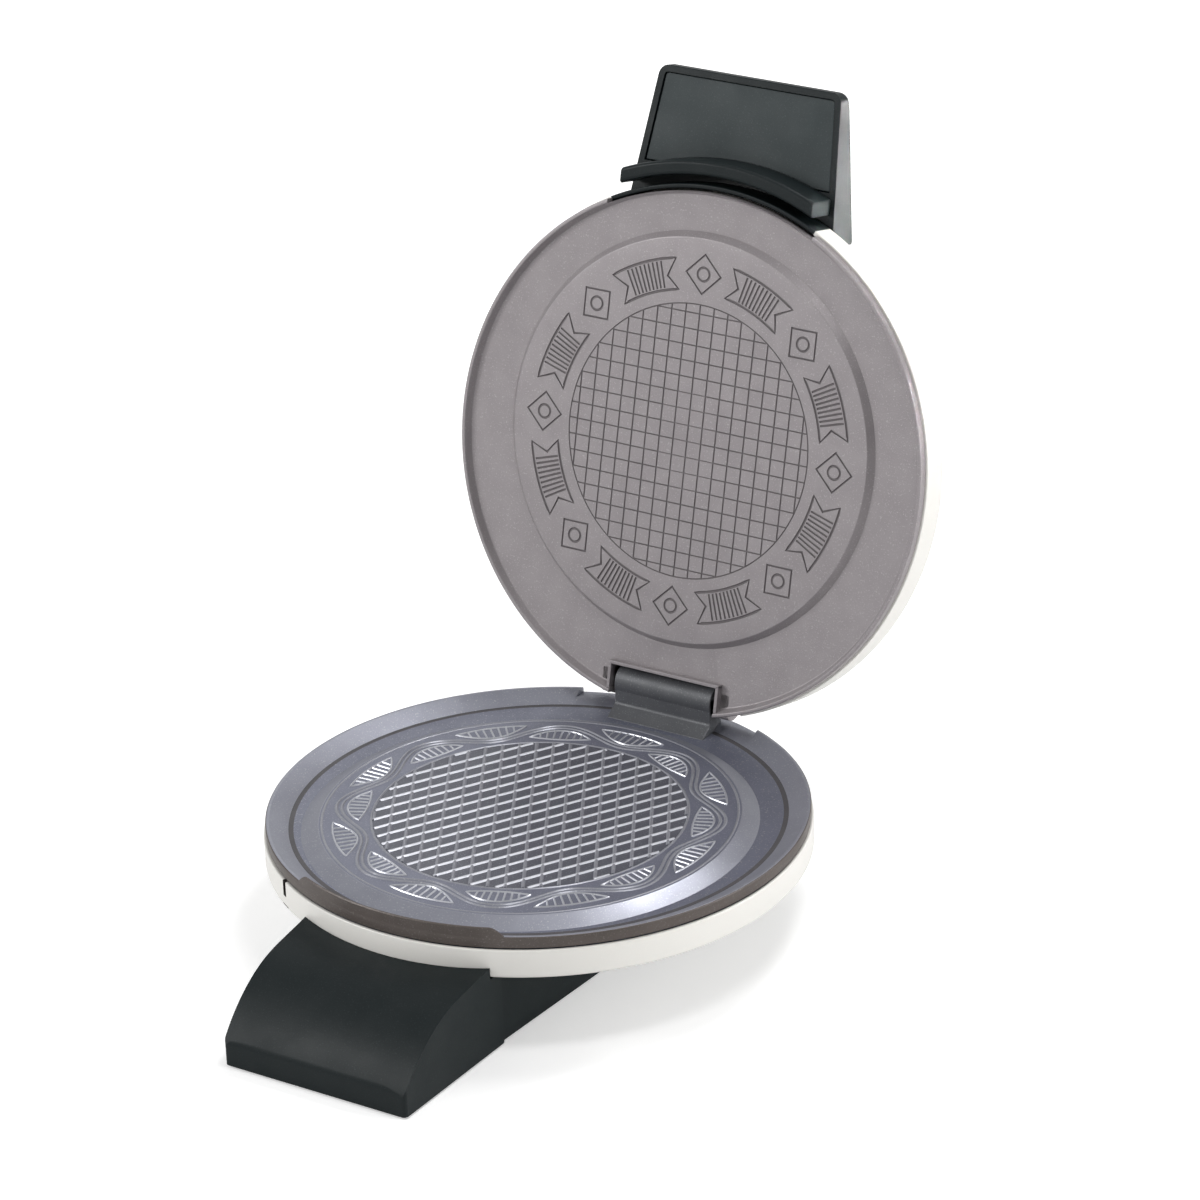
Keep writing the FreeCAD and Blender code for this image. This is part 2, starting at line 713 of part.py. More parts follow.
control_corner = sqrt((control_place + control_body_half) ** 2 + control_body_half ** 2)
control_top = dome_n(control_corner) + cover_wall + fit_gap
lid_cover = lid_cover.fuse(disc_at(control_boss_radius, 0, control_place, control_seat, control_top))
control_hole = control_bush_radius + control_hole_gap
lid_cover = lid_cover.cut(disc_at(control_hole, 0, control_place, control_seat, side_edge_n))
upper_post = upper_under - dome_n(sqrt(2) * post_place) - cover_wall - cover_wall
for x, y in four_places(post_place, post_place):
    pad_top = upper_under - upper_post
    boss = disc_at(post_shoulder, x, y, dome_n(sqrt(2) * post_place) + cover_wall / 2, pad_top)
    lid_cover = lid_cover.fuse(boss)
    lid_cover = lid_cover.cut(disc_at(plate_screw_radius + screw_clearance, x, y, crown_n, pad_top))
    lid_cover = lid_cover.cut(disc_at(plate_screw_head + screw_clearance, x, y, crown_n,
                                      pad_top - cover_wall))
handle_screw_x = handle_half_root / 2
handle_screw_u = (handle_root + cover_radius) / 2 - plastic_wall
handle_screw_n = dome_n(sqrt(handle_screw_x ** 2 + handle_screw_u ** 2))
for side in (-1, 1):
    lid_cover = lid_cover.cut(disc_at(case_screw_radius + screw_clearance, side * handle_screw_x,
                                      handle_screw_u, crown_n, side_edge_n))
lid["lid_cover"] = lid_cover.removeSplitter()

# Inside the lid: the same heating parts, on longer posts.
lid["upper_heater"] = moved(heater(), 0, 0, upper_under)
lid["upper_heater_pins"] = moved(heater_pins(), 0, 0, upper_under)
lid["upper_heater_clamps"] = moved(heater_clamps(), 0, 0, upper_under)
upper_reflector = moved(reflector(reflector_drop_upper), 0, 0, upper_under)
recess_room = cut_half + cover_wall + fit_gap
lid["upper_reflector"] = upper_reflector.cut(
    block((-recess_room, -cover_radius, crown_n), (recess_room, -window_back + cover_wall + fit_gap, 0)))
lid["upper_posts"] = moved(posts(reflector_drop_upper, upper_post), 0, 0, upper_under)
lid["upper_plate_screws"] = moved(plate_screws(upper_post + cover_wall), 0, 0, upper_under)
lid["thermal_fuse"] = moved(thermostat(), 0, 0, upper_under)
lid["thermal_fuse_strap"] = moved(thermostat_strap(), 0, 0, upper_under)


# Handle: a black moulded wedge that sits on the front of the cover, with a panel let into its face.
def handle_half(u):
    share = (u - handle_root) / (handle_tip - handle_root)
    return handle_half_root + share * (handle_half_tip - handle_half_root)


def handle_face(u):
    share = (u - handle_root) / (handle_tip - handle_root)
    return -handle_face_root - share * (handle_face_tip - handle_face_root)


def handle_back(u):
    bend = handle_tip - handle_bend_run
    share = (u - handle_root) / (bend - handle_root)
    return -handle_back_root + share * (handle_back_root - handle_back_bend)


def handle_plan(start, inset):
    tip = handle_tip - inset
    corner = handle_corner - inset
    return [(-handle_half(start) + inset, start), (handle_half(start) - inset, start),
            (handle_half(tip) - inset, tip, corner), (-handle_half(tip) + inset, tip, corner)]


handle_side = across([
    (handle_root, handle_face(handle_root)), (handle_root, -handle_back_root, handle_round),
    (handle_tip - handle_bend_run, -handle_back_bend), (handle_tip, -handle_back_tip, handle_round),
    (handle_tip, handle_face(handle_tip), edge_round)], handle_half_root)
handle_wedge = handle_side.common(slab(handle_plan(handle_root, 0), -handle_back_root, -handle_face_root))
handle_wedge = handle_wedge.cut(cover_solid(running_gap))
pocket_side = across([
    (handle_pocket_start, 0), (handle_pocket_start, handle_back(handle_pocket_start) + plastic_wall),
    (handle_tip - handle_bend_run, -handle_back_bend + plastic_wall),
    (handle_tip, -handle_back_tip + plastic_wall), (handle_tip, 0)], handle_half_root)
pocket = pocket_side.common(slab(handle_plan(handle_pocket_start, handle_frame), -handle_back_root, 0))
handle_shell = handle_wedge.cut(pocket)
for side in (-1, 1):
    bore = disc_at(case_screw_radius + running_gap, side * handle_screw_x, handle_screw_u,
                   handle_screw_n - boss_bite, side_edge_n)
    handle_shell = handle_shell.cut(bore)
lens_n = handle_back(lens_place)
handle_shell = handle_shell.cut(disc_at(lens_radius + running_gap, 0, lens_place, -handle_back_root,
                                        lens_n + 2 * plastic_wall))
lid["handle_shell"] = handle_shell


def panel_n(u):
    return handle_face(u) - panel_recess


panel_side = across([
    (handle_pocket_start, panel_n(handle_pocket_start)), (handle_tip, panel_n(handle_tip)),
    (handle_tip, panel_n(handle_tip) - panel_thick),
    (handle_pocket_start, panel_n(handle_pocket_start) - panel_thick)], handle_half_root)
panel_inset = handle_frame + panel_gap
panel_plan = handle_plan(handle_pocket_start + panel_gap, panel_inset)
lid["handle_panel"] = panel_side.common(slab(panel_plan, -handle_back_root, 0))

handle_screws = []
for side in (-1, 1):
    x = side * handle_screw_x
    seat = handle_screw_n + 2 * cover_wall
    shank = disc_at(case_screw_radius, x, handle_screw_u, handle_screw_n - boss_bite, seat)
    head = disc_at(case_screw_head, x, handle_screw_u, seat, seat + screw_head_thick)
    handle_screws.append(shank.fuse(head))
lid["handle_screws"] = Part.makeCompound(handle_screws)

# Finger guard: a curved bar that stands off the handle's face, along the rim.
guard_outer = guard_inner + guard_thick
guard = turned([
    (guard_inner, -guard_front, guard_round), (guard_outer, -guard_front, guard_round),
    (guard_outer, -handle_back_root), (guard_inner, -handle_back_root)])
guard = guard.common(block((-guard_half, 0, -handle_back_root), (guard_half, guard_outer, 0)))
guard_under = across([
    (handle_root, handle_face(handle_root)), (handle_tip, handle_face(handle_tip)),
    (handle_tip, -2 * handle_back_root), (handle_root, -2 * handle_back_root)], handle_half_root)
lid["finger_guard"] = guard.cut(guard_under)

# Ready light: a lens in the back of the handle with its lamp behind it.
lens = disc_at(lens_flange, 0, lens_place, lens_n - lens_flange_thick, lens_n)
lens = lens.fuse(disc_at(lens_radius, 0, lens_place, lens_n, lens_n + plastic_wall))
lens = lens.cut(handle_wedge.cut(pocket).common(disc_at(lens_flange, 0, lens_place, lens_n - plastic_wall,
                                                        lens_n + plastic_wall)).cut(
    disc_at(lens_radius + running_gap, 0, lens_place, -handle_back_root, 0)))
lid["ready_lens"] = lens
lamp_n = lens_n + plastic_wall + lamp_gap
lid["ready_lamp"] = rod(lamp_radius, Vector(0, lens_place + lamp_length / 2, lamp_n + lamp_radius), -Y_AXIS,
                        lamp_length)

# Browning control: thermostat body on a bracket behind the dome, a shaft, and a knob outside.
control_body = block((-control_body_half, control_place - control_body_half, control_top),
                     (control_body_half, control_place + control_body_half,
                      control_top + control_body_height))
control_bush = disc_at(control_bush_radius, 0, control_place, control_seat, control_top)
control_body = control_body.fuse(control_bush)
shaft_end = control_top + control_body_height / 2
control_body = control_body.cut(disc_at(shaft_radius + running_gap, 0, control_place, control_seat,
                                        shaft_end))
lid["browning_control"] = control_body.removeSplitter()
knob_low = control_seat - knob_gap
knob_body = turned([(0, knob_low), (knob_radius, knob_low, knob_gap),
                    (knob_radius, knob_low - knob_height, knob_round), (0, knob_low - knob_height)])
pointer = block((-knob_pointer_width / 2, 0, knob_low - knob_height),
                (knob_pointer_width / 2, knob_radius, knob_low - knob_height + knob_pointer_depth))
knob_body = moved(knob_body.cut(pointer), 0, control_place, 0)
knob_body = knob_body.cut(disc_at(shaft_radius + running_gap, 0, control_place, knob_low - shaft_socket,
                                  knob_low))
knob["browning_knob"] = knob_body
knob["knob_shaft"] = disc_at(shaft_radius, 0, control_place, knob_low - shaft_socket, shaft_end - running_gap)

# The lid's own frame has x across, y towards the handle and z out of the plate's face.
# It stands open: turned up about the hinge pin by the closed half turn less the opening.
lid_turn = 180 - open_angle


def opened(shape):
    placed = moved(shape, 0, hinge_back, -lid_hinge_n)
    placed.rotate(ORIGIN, X_AXIS, lid_turn)
    placed.translate(Vector(0, hinge_back, hinge_height))
    return placed


pieces = dict(base)
for group in (lid, knob):
    for name, shape in group.items():
        pieces[name] = opened(shape)

# The origin is under the middle of the whole object as it stands open.
reach = Part.makeCompound([pieces["front_foot"], pieces["handle_shell"]]).optimalBoundingBox()
centre_y = (reach.YMin + reach.YMax) / 2
os.makedirs("parts", exist_ok=True)
for name, shape in pieces.items():
    moved(shape, 0, -centre_y, 0).exportStep("parts/" + name + ".step")

outward = Rotation(X_AXIS, lid_turn).multVec(-Z_AXIS)
knob_centre = opened(Part.Vertex(0, control_place, knob_low)).Point - Vector(0, centre_y, 0)
print("hinge axis y, z", round(hinge_back - centre_y, 4), round(hinge_height, 4))
print("body axis y", round(-centre_y, 4), "rim height", rim_height)
print("knob centre", [round(v, 4) for v in knob_centre], "axis", [round(v, 5) for v in outward])
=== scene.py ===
import json
from math import cos, pi, radians, sin, sqrt, tan

import bmesh
import bpy
from mathutils import Matrix, Vector


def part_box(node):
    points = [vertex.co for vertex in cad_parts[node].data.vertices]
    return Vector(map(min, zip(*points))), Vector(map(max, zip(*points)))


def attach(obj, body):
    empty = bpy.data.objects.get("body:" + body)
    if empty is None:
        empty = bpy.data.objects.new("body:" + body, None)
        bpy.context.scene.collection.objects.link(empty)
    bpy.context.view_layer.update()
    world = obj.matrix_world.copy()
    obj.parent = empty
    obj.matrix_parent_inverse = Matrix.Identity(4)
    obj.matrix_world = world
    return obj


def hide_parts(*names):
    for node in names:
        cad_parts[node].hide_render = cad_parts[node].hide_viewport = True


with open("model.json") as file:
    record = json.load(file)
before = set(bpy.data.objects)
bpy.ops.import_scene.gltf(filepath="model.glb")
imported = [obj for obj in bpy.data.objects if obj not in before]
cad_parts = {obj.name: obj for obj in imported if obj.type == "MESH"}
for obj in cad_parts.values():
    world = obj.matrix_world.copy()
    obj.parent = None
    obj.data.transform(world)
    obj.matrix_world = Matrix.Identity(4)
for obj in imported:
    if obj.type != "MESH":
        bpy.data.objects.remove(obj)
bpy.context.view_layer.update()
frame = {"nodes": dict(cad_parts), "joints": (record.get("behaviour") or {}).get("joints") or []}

# Base ring: the shallow pan of cream-white enamelled steel that carries the lower plate. It is
# pressed from sheet, with a rounded lower edge and one narrow slot left of the front. The base is
# drawn in millimetres about the pan's axis, with zero height at the rim of the plate above it.
MM = 0.001
RIM_ABOVE_PAN = 5.8
pan_low, pan_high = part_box("base_pan")
pan_axis = Vector((0, (pan_low[1] + pan_high[1]) / 2, pan_high[2] + RIM_ABOVE_PAN * MM))
base_place = Matrix.Translation(pan_axis) @ Matrix.Scale(MM, 4)


def rounded(corners, steps=5):
    """A profile whose corners (a, b, radius) are turned into short arcs."""
    out = []
    for i, c in enumerate(corners):
        here = Vector(c[:2])
        if len(c) < 3:
            out.append(here)
            continue
        before = (Vector(corners[i - 1][:2]) - here).normalized()
        after = (Vector(corners[(i + 1) % len(corners)][:2]) - here).normalized()
        half = before.angle(after) / 2
        middle = here + (before + after).normalized() * (c[2] / sin(half))
        start = (here + before * (c[2] / tan(half)) - middle).normalized()
        end = (here + after * (c[2] / tan(half)) - middle).normalized()
        for k in range(steps + 1):
            out.append(middle + start.slerp(end, k / steps) * c[2])
    return out


def turned(corners, segments=256):
    """A closed shape turned about Z, from a profile that is a loop or starts and ends on the axis."""
    bm = bmesh.new()
    points = rounded(corners)
    on_axis = [p.x < 1e-6 for p in points]
    turns = [2 * pi * k / segments for k in range(segments)]
    rings = []
    for p, axis in zip(points, on_axis):
        if axis:
            rings.append([bm.verts.new((0, 0, p.y))] * segments)
        else:
            rings.append([bm.verts.new((p.x * cos(a), p.x * sin(a), p.y)) for a in turns])
    last = len(rings) - 1 if on_axis[0] and on_axis[-1] else len(rings)
    for i in range(last):
        a, b = rings[i], rings[(i + 1) % len(rings)]
        for k in range(segments):
            quad = [a[k], a[(k + 1) % segments], b[(k + 1) % segments], b[k]]
            bm.faces.new([v for n, v in enumerate(quad) if v not in quad[:n]])
    bmesh.ops.recalc_face_normals(bm, faces=bm.faces)
    return bm


def boxed(low, high):
    """A closed box between two corners."""
    bm = bmesh.new()
    bmesh.ops.create_cube(bm, size=1)
    size = Vector(high) - Vector(low)
    bm.transform(Matrix.Translation((Vector(low) + Vector(high)) / 2) @ Matrix.Diagonal((*size, 1)))
    return bm


def as_object(bm, name):
    """An object from a drawn shape, which is used up."""
    mesh = bpy.data.meshes.new(name)
    bm.to_mesh(mesh)
    bm.free()
    made = bpy.data.objects.new(name, mesh)
    bpy.context.scene.collection.objects.link(made)
    return made


def flattened(made):
    """Applies an object's modifiers and leaves a plain mesh."""
    view = bpy.context.evaluated_depsgraph_get()
    plain = bpy.data.meshes.new_from_object(made.evaluated_get(view))
    made.modifiers.clear()
    old = made.data
    made.data = plain
    bpy.data.meshes.remove(old)
    return made


def carve(made, cutters, operation="DIFFERENCE"):
    """Cuts an object with others, which are used up."""
    for cutter in cutters:
        cut = made.modifiers.new("cut", "BOOLEAN")
        cut.operation = operation
        cut.solver = "MANIFOLD"
        cut.object = cutter
        flattened(made)
        bpy.data.objects.remove(cutter)


def dressed(made, body, material, place=None, nodes=(), crease=30):
    """Puts a piece in its place on a body, with its finish and smooth shading."""
    if place is not None:
        made.data.transform(place)
    made.data.materials.clear()
    made.data.materials.append(material)
    made.data.polygons.foreach_set("material_index", [0] * len(made.data.polygons))
    if not made.data.has_custom_normals:
        made.data.shade_smooth()
        made.data.set_sharp_from_angle(angle=radians(crease))
    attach(made, body)
    if nodes:
        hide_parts(*nodes)


def chosen(made, test):
    """The numbers of the faces that a test of their radius, height and middle picks out."""
    faces = []
    for face in made.data.polygons:
        middle = face.center
        if test(Vector(middle[:2]).length, middle.z, middle):
            faces.append(face.index)
    return faces


def painted(made, material, faces):
    """Gives some faces of a piece a finish of their own."""
    made.data.materials.append(material)
    for number in faces:
        made.data.polygons[number].material_index = len(made.data.materials) - 1


def ranged(tree, value, low, high, to_low, to_high):
    """A Map Range node on a value."""
    node = tree.nodes.new("ShaderNodeMapRange")
    node.inputs["From Min"].default_value = low
    node.inputs["From Max"].default_value = high
    node.inputs["To Min"].default_value = to_low
    node.inputs["To Max"].default_value = to_high
    tree.links.new(value, node.inputs["Value"])
    return node.outputs["Result"]


TONE_NOISE, SPECK_NOISE, WEAR_NOISE = (0.25, 0.75), (0.60, 0.72), (0.3, 0.7)
WEAR_SCALE, GRAIN_DEPTH, COAT_ROUGH = 0.6, 0.0002, 0.18


def finish_of(name, colour, second, rough, spread, scale, bump, metal=0.0, coat=0.0, gloss=0.5,
              speck=None, speck_size=1400):
    """A surface with two mixed tones, a varied roughness and a fine grain, plus specks if given."""
    material = bpy.data.materials.new(name)
    material.use_nodes = True
    tree = material.node_tree
    shader = tree.nodes["Principled BSDF"]
    place = tree.nodes.new("ShaderNodeTexCoord").outputs["Object"]

    def noise(size, detail):
        node = tree.nodes.new("ShaderNodeTexNoise")
        node.inputs["Scale"].default_value = size
        node.inputs["Detail"].default_value = detail
        tree.links.new(place, node.inputs["Vector"])
        return node.outputs["Fac"]

    def mixed(factor, a, b):
        node = tree.nodes.new("ShaderNodeMix")
        node.data_type = "RGBA"
        tree.links.new(factor, node.inputs["Factor"])
        for socket, tone in ((node.inputs["A"], a), (node.inputs["B"], b)):
            if isinstance(tone, tuple):
                socket.default_value = (*tone, 1)
            else:
                tree.links.new(tone, socket)
        return node.outputs["Result"]

    tone = mixed(ranged(tree, noise(scale, detail=5), *TONE_NOISE, 0, 1), colour, second)
    if speck:
        tone = mixed(ranged(tree, noise(speck_size, detail=2), *SPECK_NOISE, 0, 1), tone, speck)
    tree.links.new(tone, shader.inputs["Base Color"])
    wear = ranged(tree, noise(scale * WEAR_SCALE, detail=4), *WEAR_NOISE, rough - spread, rough + spread)
    tree.links.new(wear, shader.inputs["Roughness"])
    grain = tree.nodes.new("ShaderNodeBump")
    grain.inputs["Strength"].default_value = bump
    grain.inputs["Distance"].default_value = GRAIN_DEPTH
    tree.links.new(noise(speck_size, detail=3), grain.inputs["Height"])
    tree.links.new(grain.outputs["Normal"], shader.inputs["Normal"])
    shader.inputs["Metallic"].default_value = metal
    shader.inputs["Specular IOR Level"].default_value = gloss
    shader.inputs["Coat Weight"].default_value = coat
    shader.inputs["Coat Roughness"].default_value = COAT_ROUGH
    return material


cream = finish_of("cream_enamel", (0.77, 0.757, 0.72), (0.760, 0.746, 0.708), rough=0.37, spread=0.06,
                  scale=25, bump=0.04, coat=0.2, speck=(0.785, 0.772, 0.730), speck_size=1600)
PAN_R, PAN_TOP, PAN_LOW = 118.9, -5.8, -19.1
PAN_WALL, PAN_FLOOR, PAN_BEND, PAN_LIP = 1.8, 1.5, 2.0, 0.6
pan = as_object(turned([(0, PAN_LOW), (PAN_R, PAN_LOW, PAN_BEND), (PAN_R, PAN_TOP, PAN_LIP),
                        (PAN_R - PAN_WALL, PAN_TOP, PAN_LIP), (PAN_R - PAN_WALL, PAN_LOW + PAN_FLOOR),
                        (0, PAN_LOW + PAN_FLOOR)]), "pan_ring")
# The slot is cut through the wall from above. CLEAR is how far a cutter reaches past what it cuts.
slot_shade = finish_of("slot_painted_shade", (0.030, 0.026, 0.024), (0.045, 0.040, 0.036), rough=0.6, spread=0.08,
                     scale=200, bump=0.1)
CLEAR = 2.1
SLOT_HALF, SLOT_DEPTH, SLOT_ANGLE = 1.45, 7.3, -32.4
SLOT_SKIN, SLOT_SPARE = 0.05, 0.15
slot_turn = Matrix.Rotation(radians(SLOT_ANGLE), 4, "Z")
slot_way = slot_turn.to_3x3() @ Vector((0, -1, 0))
slot_box = boxed((-SLOT_HALF, -PAN_R - CLEAR, PAN_TOP - SLOT_DEPTH),
                 (SLOT_HALF, -PAN_R + PAN_WALL + CLEAR, PAN_TOP + CLEAR))
slot_box.transform(slot_turn)
carve(pan, [as_object(slot_box, "slot")])


def in_slot(r, z, middle):
    """Whether a face of the pan is one of the slot's own."""
    flat = Vector((middle.x, middle.y, 0))
    beside = flat.cross(slot_way).length
    within_wall = flat.dot(slot_way) > PAN_R - PAN_WALL - CLEAR and r < PAN_R - SLOT_SKIN
    return within_wall and beside < SLOT_HALF + SLOT_SPARE


# The slot's own faces get painted shade: a near-black colour for the shadow inside the narrow slot.
slot_shade_faces = chosen(pan, in_slot)
dressed(pan, "base", cream, base_place, ["base_pan"])
painted(pan, slot_shade, slot_shade_faces)

# Lower plate: cast aluminium with a dark non-stick coat and a broad trough inside its sloping rim.
# It is screwed to the pan. The rim is cut a little lower at the back for the lid's swing.
lower_coat = finish_of("nonstick_lower", (0.154, 0.162, 0.214), (0.182, 0.191, 0.246), rough=0.34,
                       spread=0.05, scale=90, bump=0.16, metal=0.45, speck=(0.34, 0.35, 0.38),
                       speck_size=1500)
rim_coat = finish_of("nonstick_rim", (0.075, 0.062, 0.056), (0.10, 0.083, 0.075), rough=0.42, spread=0.06,
                     scale=70, bump=0.12, metal=0.3, speck=(0.16, 0.14, 0.13), speck_size=1500)
# Painted shade: a darker colour for the crease at the foot of the rim's slope.
crease_shade = finish_of("nonstick_crease_painted_shade", (0.065, 0.062, 0.068), (0.085, 0.081, 0.086), rough=0.5,
                        spread=0.06, scale=70, bump=0.12, metal=0.2, speck=(0.12, 0.11, 0.11),
                        speck_size=1500)
# Painted highlight: a lighter, more metallic colour for the slopes, where light falls on them.
slope_highlight = finish_of("nonstick_slope_painted_highlight", (0.268, 0.275, 0.322), (0.298, 0.305, 0.352), rough=0.36,
                       spread=0.04, scale=90, bump=0.16, metal=0.6, speck=(0.42, 0.43, 0.46),
                       speck_size=1500)
PLATE_R, SEAT_R, PLATE_UNDER, PLATE_SIDE = 118.0, 115.7, -9.5, -5.2
LAND, TROUGH, SLOPE_FOOT, CREASE = 1.6, -4.5, 108.0, 2.0
SIDE_EDGE, RIM_EDGE, FOOT_BEND = 0.4, 0.6, 0.8
plate = as_object(turned([(0, PLATE_UNDER), (SEAT_R, PLATE_UNDER), (SEAT_R, PLATE_SIDE),
                          (PLATE_R, PLATE_SIDE, SIDE_EDGE), (PLATE_R, 0, RIM_EDGE),
                          (PLATE_R - LAND, 0, RIM_EDGE), (SLOPE_FOOT, TROUGH, FOOT_BEND),
                          (SLOPE_FOOT - CREASE, TROUGH), (0, TROUGH)]), "lower_dish")
RELIEF_HALF, RELIEF_FRONT, RELIEF_LEVEL = 46, 60, -2.4
carve(plate, [as_object(boxed((-RELIEF_HALF, RELIEF_FRONT, RELIEF_LEVEL),
                              (RELIEF_HALF, PLATE_R + CLEAR, CLEAR)), "relief")])
# The slope's painted highlight (a lighter, more metallic colour), the painted shade in the crease at its foot
# and the rim's coat meet at these distances.
SLOPE_START, CREASE_OUT, CREASE_UNDER, CREASE_RISE, RIM_BAND = 0.3, 0.3, 0.1, 0.6, 0.5
slope_highlight_faces = chosen(plate, lambda r, z, middle: r > SLOPE_FOOT and z > TROUGH + SLOPE_START)
crease_shade_faces = chosen(plate, lambda r, z, middle: SLOPE_FOOT - CREASE < r < SLOPE_FOOT + CREASE_OUT
                      and TROUGH - CREASE_UNDER < z < TROUGH + CREASE_RISE)
rim_faces = chosen(plate, lambda r, z, middle: r > PLATE_R - RIM_BAND)
dressed(plate, "base", lower_coat, base_place, ["lower_plate"])
# Painted highlight on the rim's slope and the inside of its land.
painted(plate, slope_highlight, slope_highlight_faces)
# Painted shade in the crease at the slope's foot.
painted(plate, crease_shade, crease_shade_faces)
painted(plate, rim_coat, rim_faces)

# Front lip: a raised stretch of the rim at the front, cast with the plate and coated like the rim.
# Its ends slope down, and its upper edges are broken.
LIP_H, LIP_IN, LIP_HALF_TOP, LIP_HALF_FOOT = 4.0, 116.7, 46.8, 51.8
LIP_ROOT, LIP_EDGE, LIP_LEAST, LIP_STEPS = -0.7, 0.35, 0.001, 96
LIP_OUT = PLATE_R - 0.01
lip_bm = bmesh.new()
lip_rings = []
for k in range(LIP_STEPS + 1):
    along = LIP_HALF_FOOT * (2 * k / LIP_STEPS - 1)
    rise = min(1.0, (LIP_HALF_FOOT - abs(along)) / (LIP_HALF_FOOT - LIP_HALF_TOP))
    top = LIP_H * rise * (3 - rise) / 2 + LIP_LEAST
    soft = min(LIP_EDGE, top / 3)
    ring = []
    for r, z in ((LIP_OUT, LIP_ROOT), (LIP_OUT, top - soft), (PLATE_R - soft, top), (LIP_IN + soft, top),
                 (LIP_IN, top - soft), (LIP_IN, LIP_ROOT)):
        x = along * r / PLATE_R
        ring.append(lip_bm.verts.new((x, -sqrt(r * r - x * x), z)))
    lip_rings.append(ring)
for a, b in zip(lip_rings, lip_rings[1:]):
    for i in range(len(a)):
        lip_bm.faces.new((a[i - 1], a[i], b[i], b[i - 1]))
lip_bm.faces.new(lip_rings[0])
lip_bm.faces.new(lip_rings[-1][::-1])
bmesh.ops.recalc_face_normals(lip_bm, faces=lip_bm.faces)
dressed(as_object(lip_bm, "front_lip"), "base", rim_coat, base_place)

# Hinge tab and barrel: cast on at the back of the plate, and painted darker than the plate as painted shade
# at the hinge. The tab rises from the trough, and the barrel on top of it is bored for the hinge pin.
hinge_shade = finish_of("nonstick_hinge_painted_shade", (0.075, 0.078, 0.085), (0.095, 0.098, 0.105), rough=0.45, spread=0.06,
                     scale=90, bump=0.16, metal=0.25, speck=(0.17, 0.175, 0.185), speck_size=1500)


def extruded(corners, half):
    """A closed bar across X from a side profile of (y, z, radius) corners."""
    bm = bmesh.new()
    points = rounded(corners)
    ends = [[bm.verts.new((x, p.x, p.y)) for p in points] for x in (-half, half)]
    for i in range(len(points)):
        bm.faces.new((ends[0][i - 1], ends[0][i], ends[1][i], ends[1][i - 1]))
    bm.faces.new(ends[0])
    bm.faces.new(ends[1][::-1])
    bmesh.ops.recalc_face_normals(bm, faces=bm.faces)
    return bm


def edged(made, width, limit=35):
    """Rounds an object's sharp edges and evens the shading of its flats."""
    made.data.shade_smooth()
    soft = made.modifiers.new("edge", "BEVEL")
    soft.width = width
    soft.segments = 3
    soft.limit_method = "ANGLE"
    soft.angle_limit = radians(limit)
    even = made.modifiers.new("even", "WEIGHTED_NORMAL")
    even.weight = 100
    return flattened(made)


HINGE_BACK, HINGE_RISE = 109.3, 8.5
TAB_FRONT, TAB_TOE, TAB_FACE, TAB_BACK = 95.0, 101.9, 102.6, 113.0
TAB_HALF, TAB_TOP, TAB_FOOT, TOE_BEND, TOP_BEND = 25, 12.0, -9.4, 2, 0.8
tab = extruded([(TAB_FRONT, TROUGH), (TAB_TOE, 0, TOE_BEND), (TAB_FACE, TAB_TOP, TOP_BEND),
                (HINGE_BACK, TAB_TOP), (TAB_BACK, TAB_FOOT), (TAB_FRONT, TAB_FOOT)], TAB_HALF)
tab_object = edged(as_object(tab, "hinge_tab"), width=0.5)
dressed(tab_object, "base", hinge_shade, base_place)
BARREL_R, BARREL_STEPS = 7.4, 96
barrel_turns = [2 * pi * k / BARREL_STEPS for k in range(BARREL_STEPS)]
barrel = extruded([(HINGE_BACK + BARREL_R * cos(a), HINGE_RISE + BARREL_R * sin(a)) for a in barrel_turns],
                  TAB_HALF)
barrel_object = edged(as_object(barrel, "hinge_barrel"), width=0.4)
dressed(barrel_object, "base", hinge_shade, base_place)

# Lower baking field: the raised round part of the same casting, where the wafer is pressed. Its slope is
# painted lighter as a painted highlight, and the cells of its grid are darker than the rest.
cell_coat = finish_of("nonstick_cell", (0.085, 0.089, 0.112), (0.105, 0.109, 0.134), rough=0.36, spread=0.05,
                      scale=90, bump=0.16, metal=0.4, speck=(0.26, 0.27, 0.30), speck_size=1500)
FIELD_R, FIELD_TOP, FIELD_SHIFT, GRID_R = 91.4, -0.84, -6.5, 67.6
FIELD_SLOPE, FIELD_ROOT, ROOT_OUT, ROOT_BEND, FIELD_BEND = 7.7, 0.3, 0.2, 0.1, 1.0
CELL_OUT, CELL_BAND, SLOPE_BAND = 0.6, 0.5, 0.4
field_foot = FIELD_R + FIELD_SLOPE
field = as_object(turned([(0, TROUGH - FIELD_ROOT), (field_foot + ROOT_OUT, TROUGH - FIELD_ROOT),
                          (field_foot, TROUGH, ROOT_BEND), (FIELD_R, FIELD_TOP, FIELD_BEND),
                          (GRID_R + CELL_OUT, FIELD_TOP), (0, FIELD_TOP)]), "lower_field")
field_place = base_place @ Matrix.Translation((0, FIELD_SHIFT, 0))
cell_faces = chosen(field, lambda r, z, middle: r < GRID_R + CELL_BAND)
field_slope_highlight_faces = chosen(field, lambda r, z, middle: r > FIELD_R - SLOPE_BAND)
dressed(field, "base", lower_coat, field_place)
painted(field, cell_coat, cell_faces)
# Painted highlight on the field's slope.
painted(field, slope_highlight, field_slope_highlight_faces)

# Raised lines of the lower field: a diamond grid, a double wavy line and sixteen hatched lens shapes.
# They are cast with the field, and are painted lighter than it as painted highlight.
# The brighter painted highlight, for the right-leaning grid lines and the lenses.
ridge_highlight_bright = finish_of("nonstick_bright_ridge_highlight", (0.55, 0.56, 0.60), (0.44, 0.45, 0.49), rough=0.34, spread=0.05,
                      scale=220, bump=0.03, metal=0.7, speck=(0.66, 0.67, 0.70), speck_size=1500)
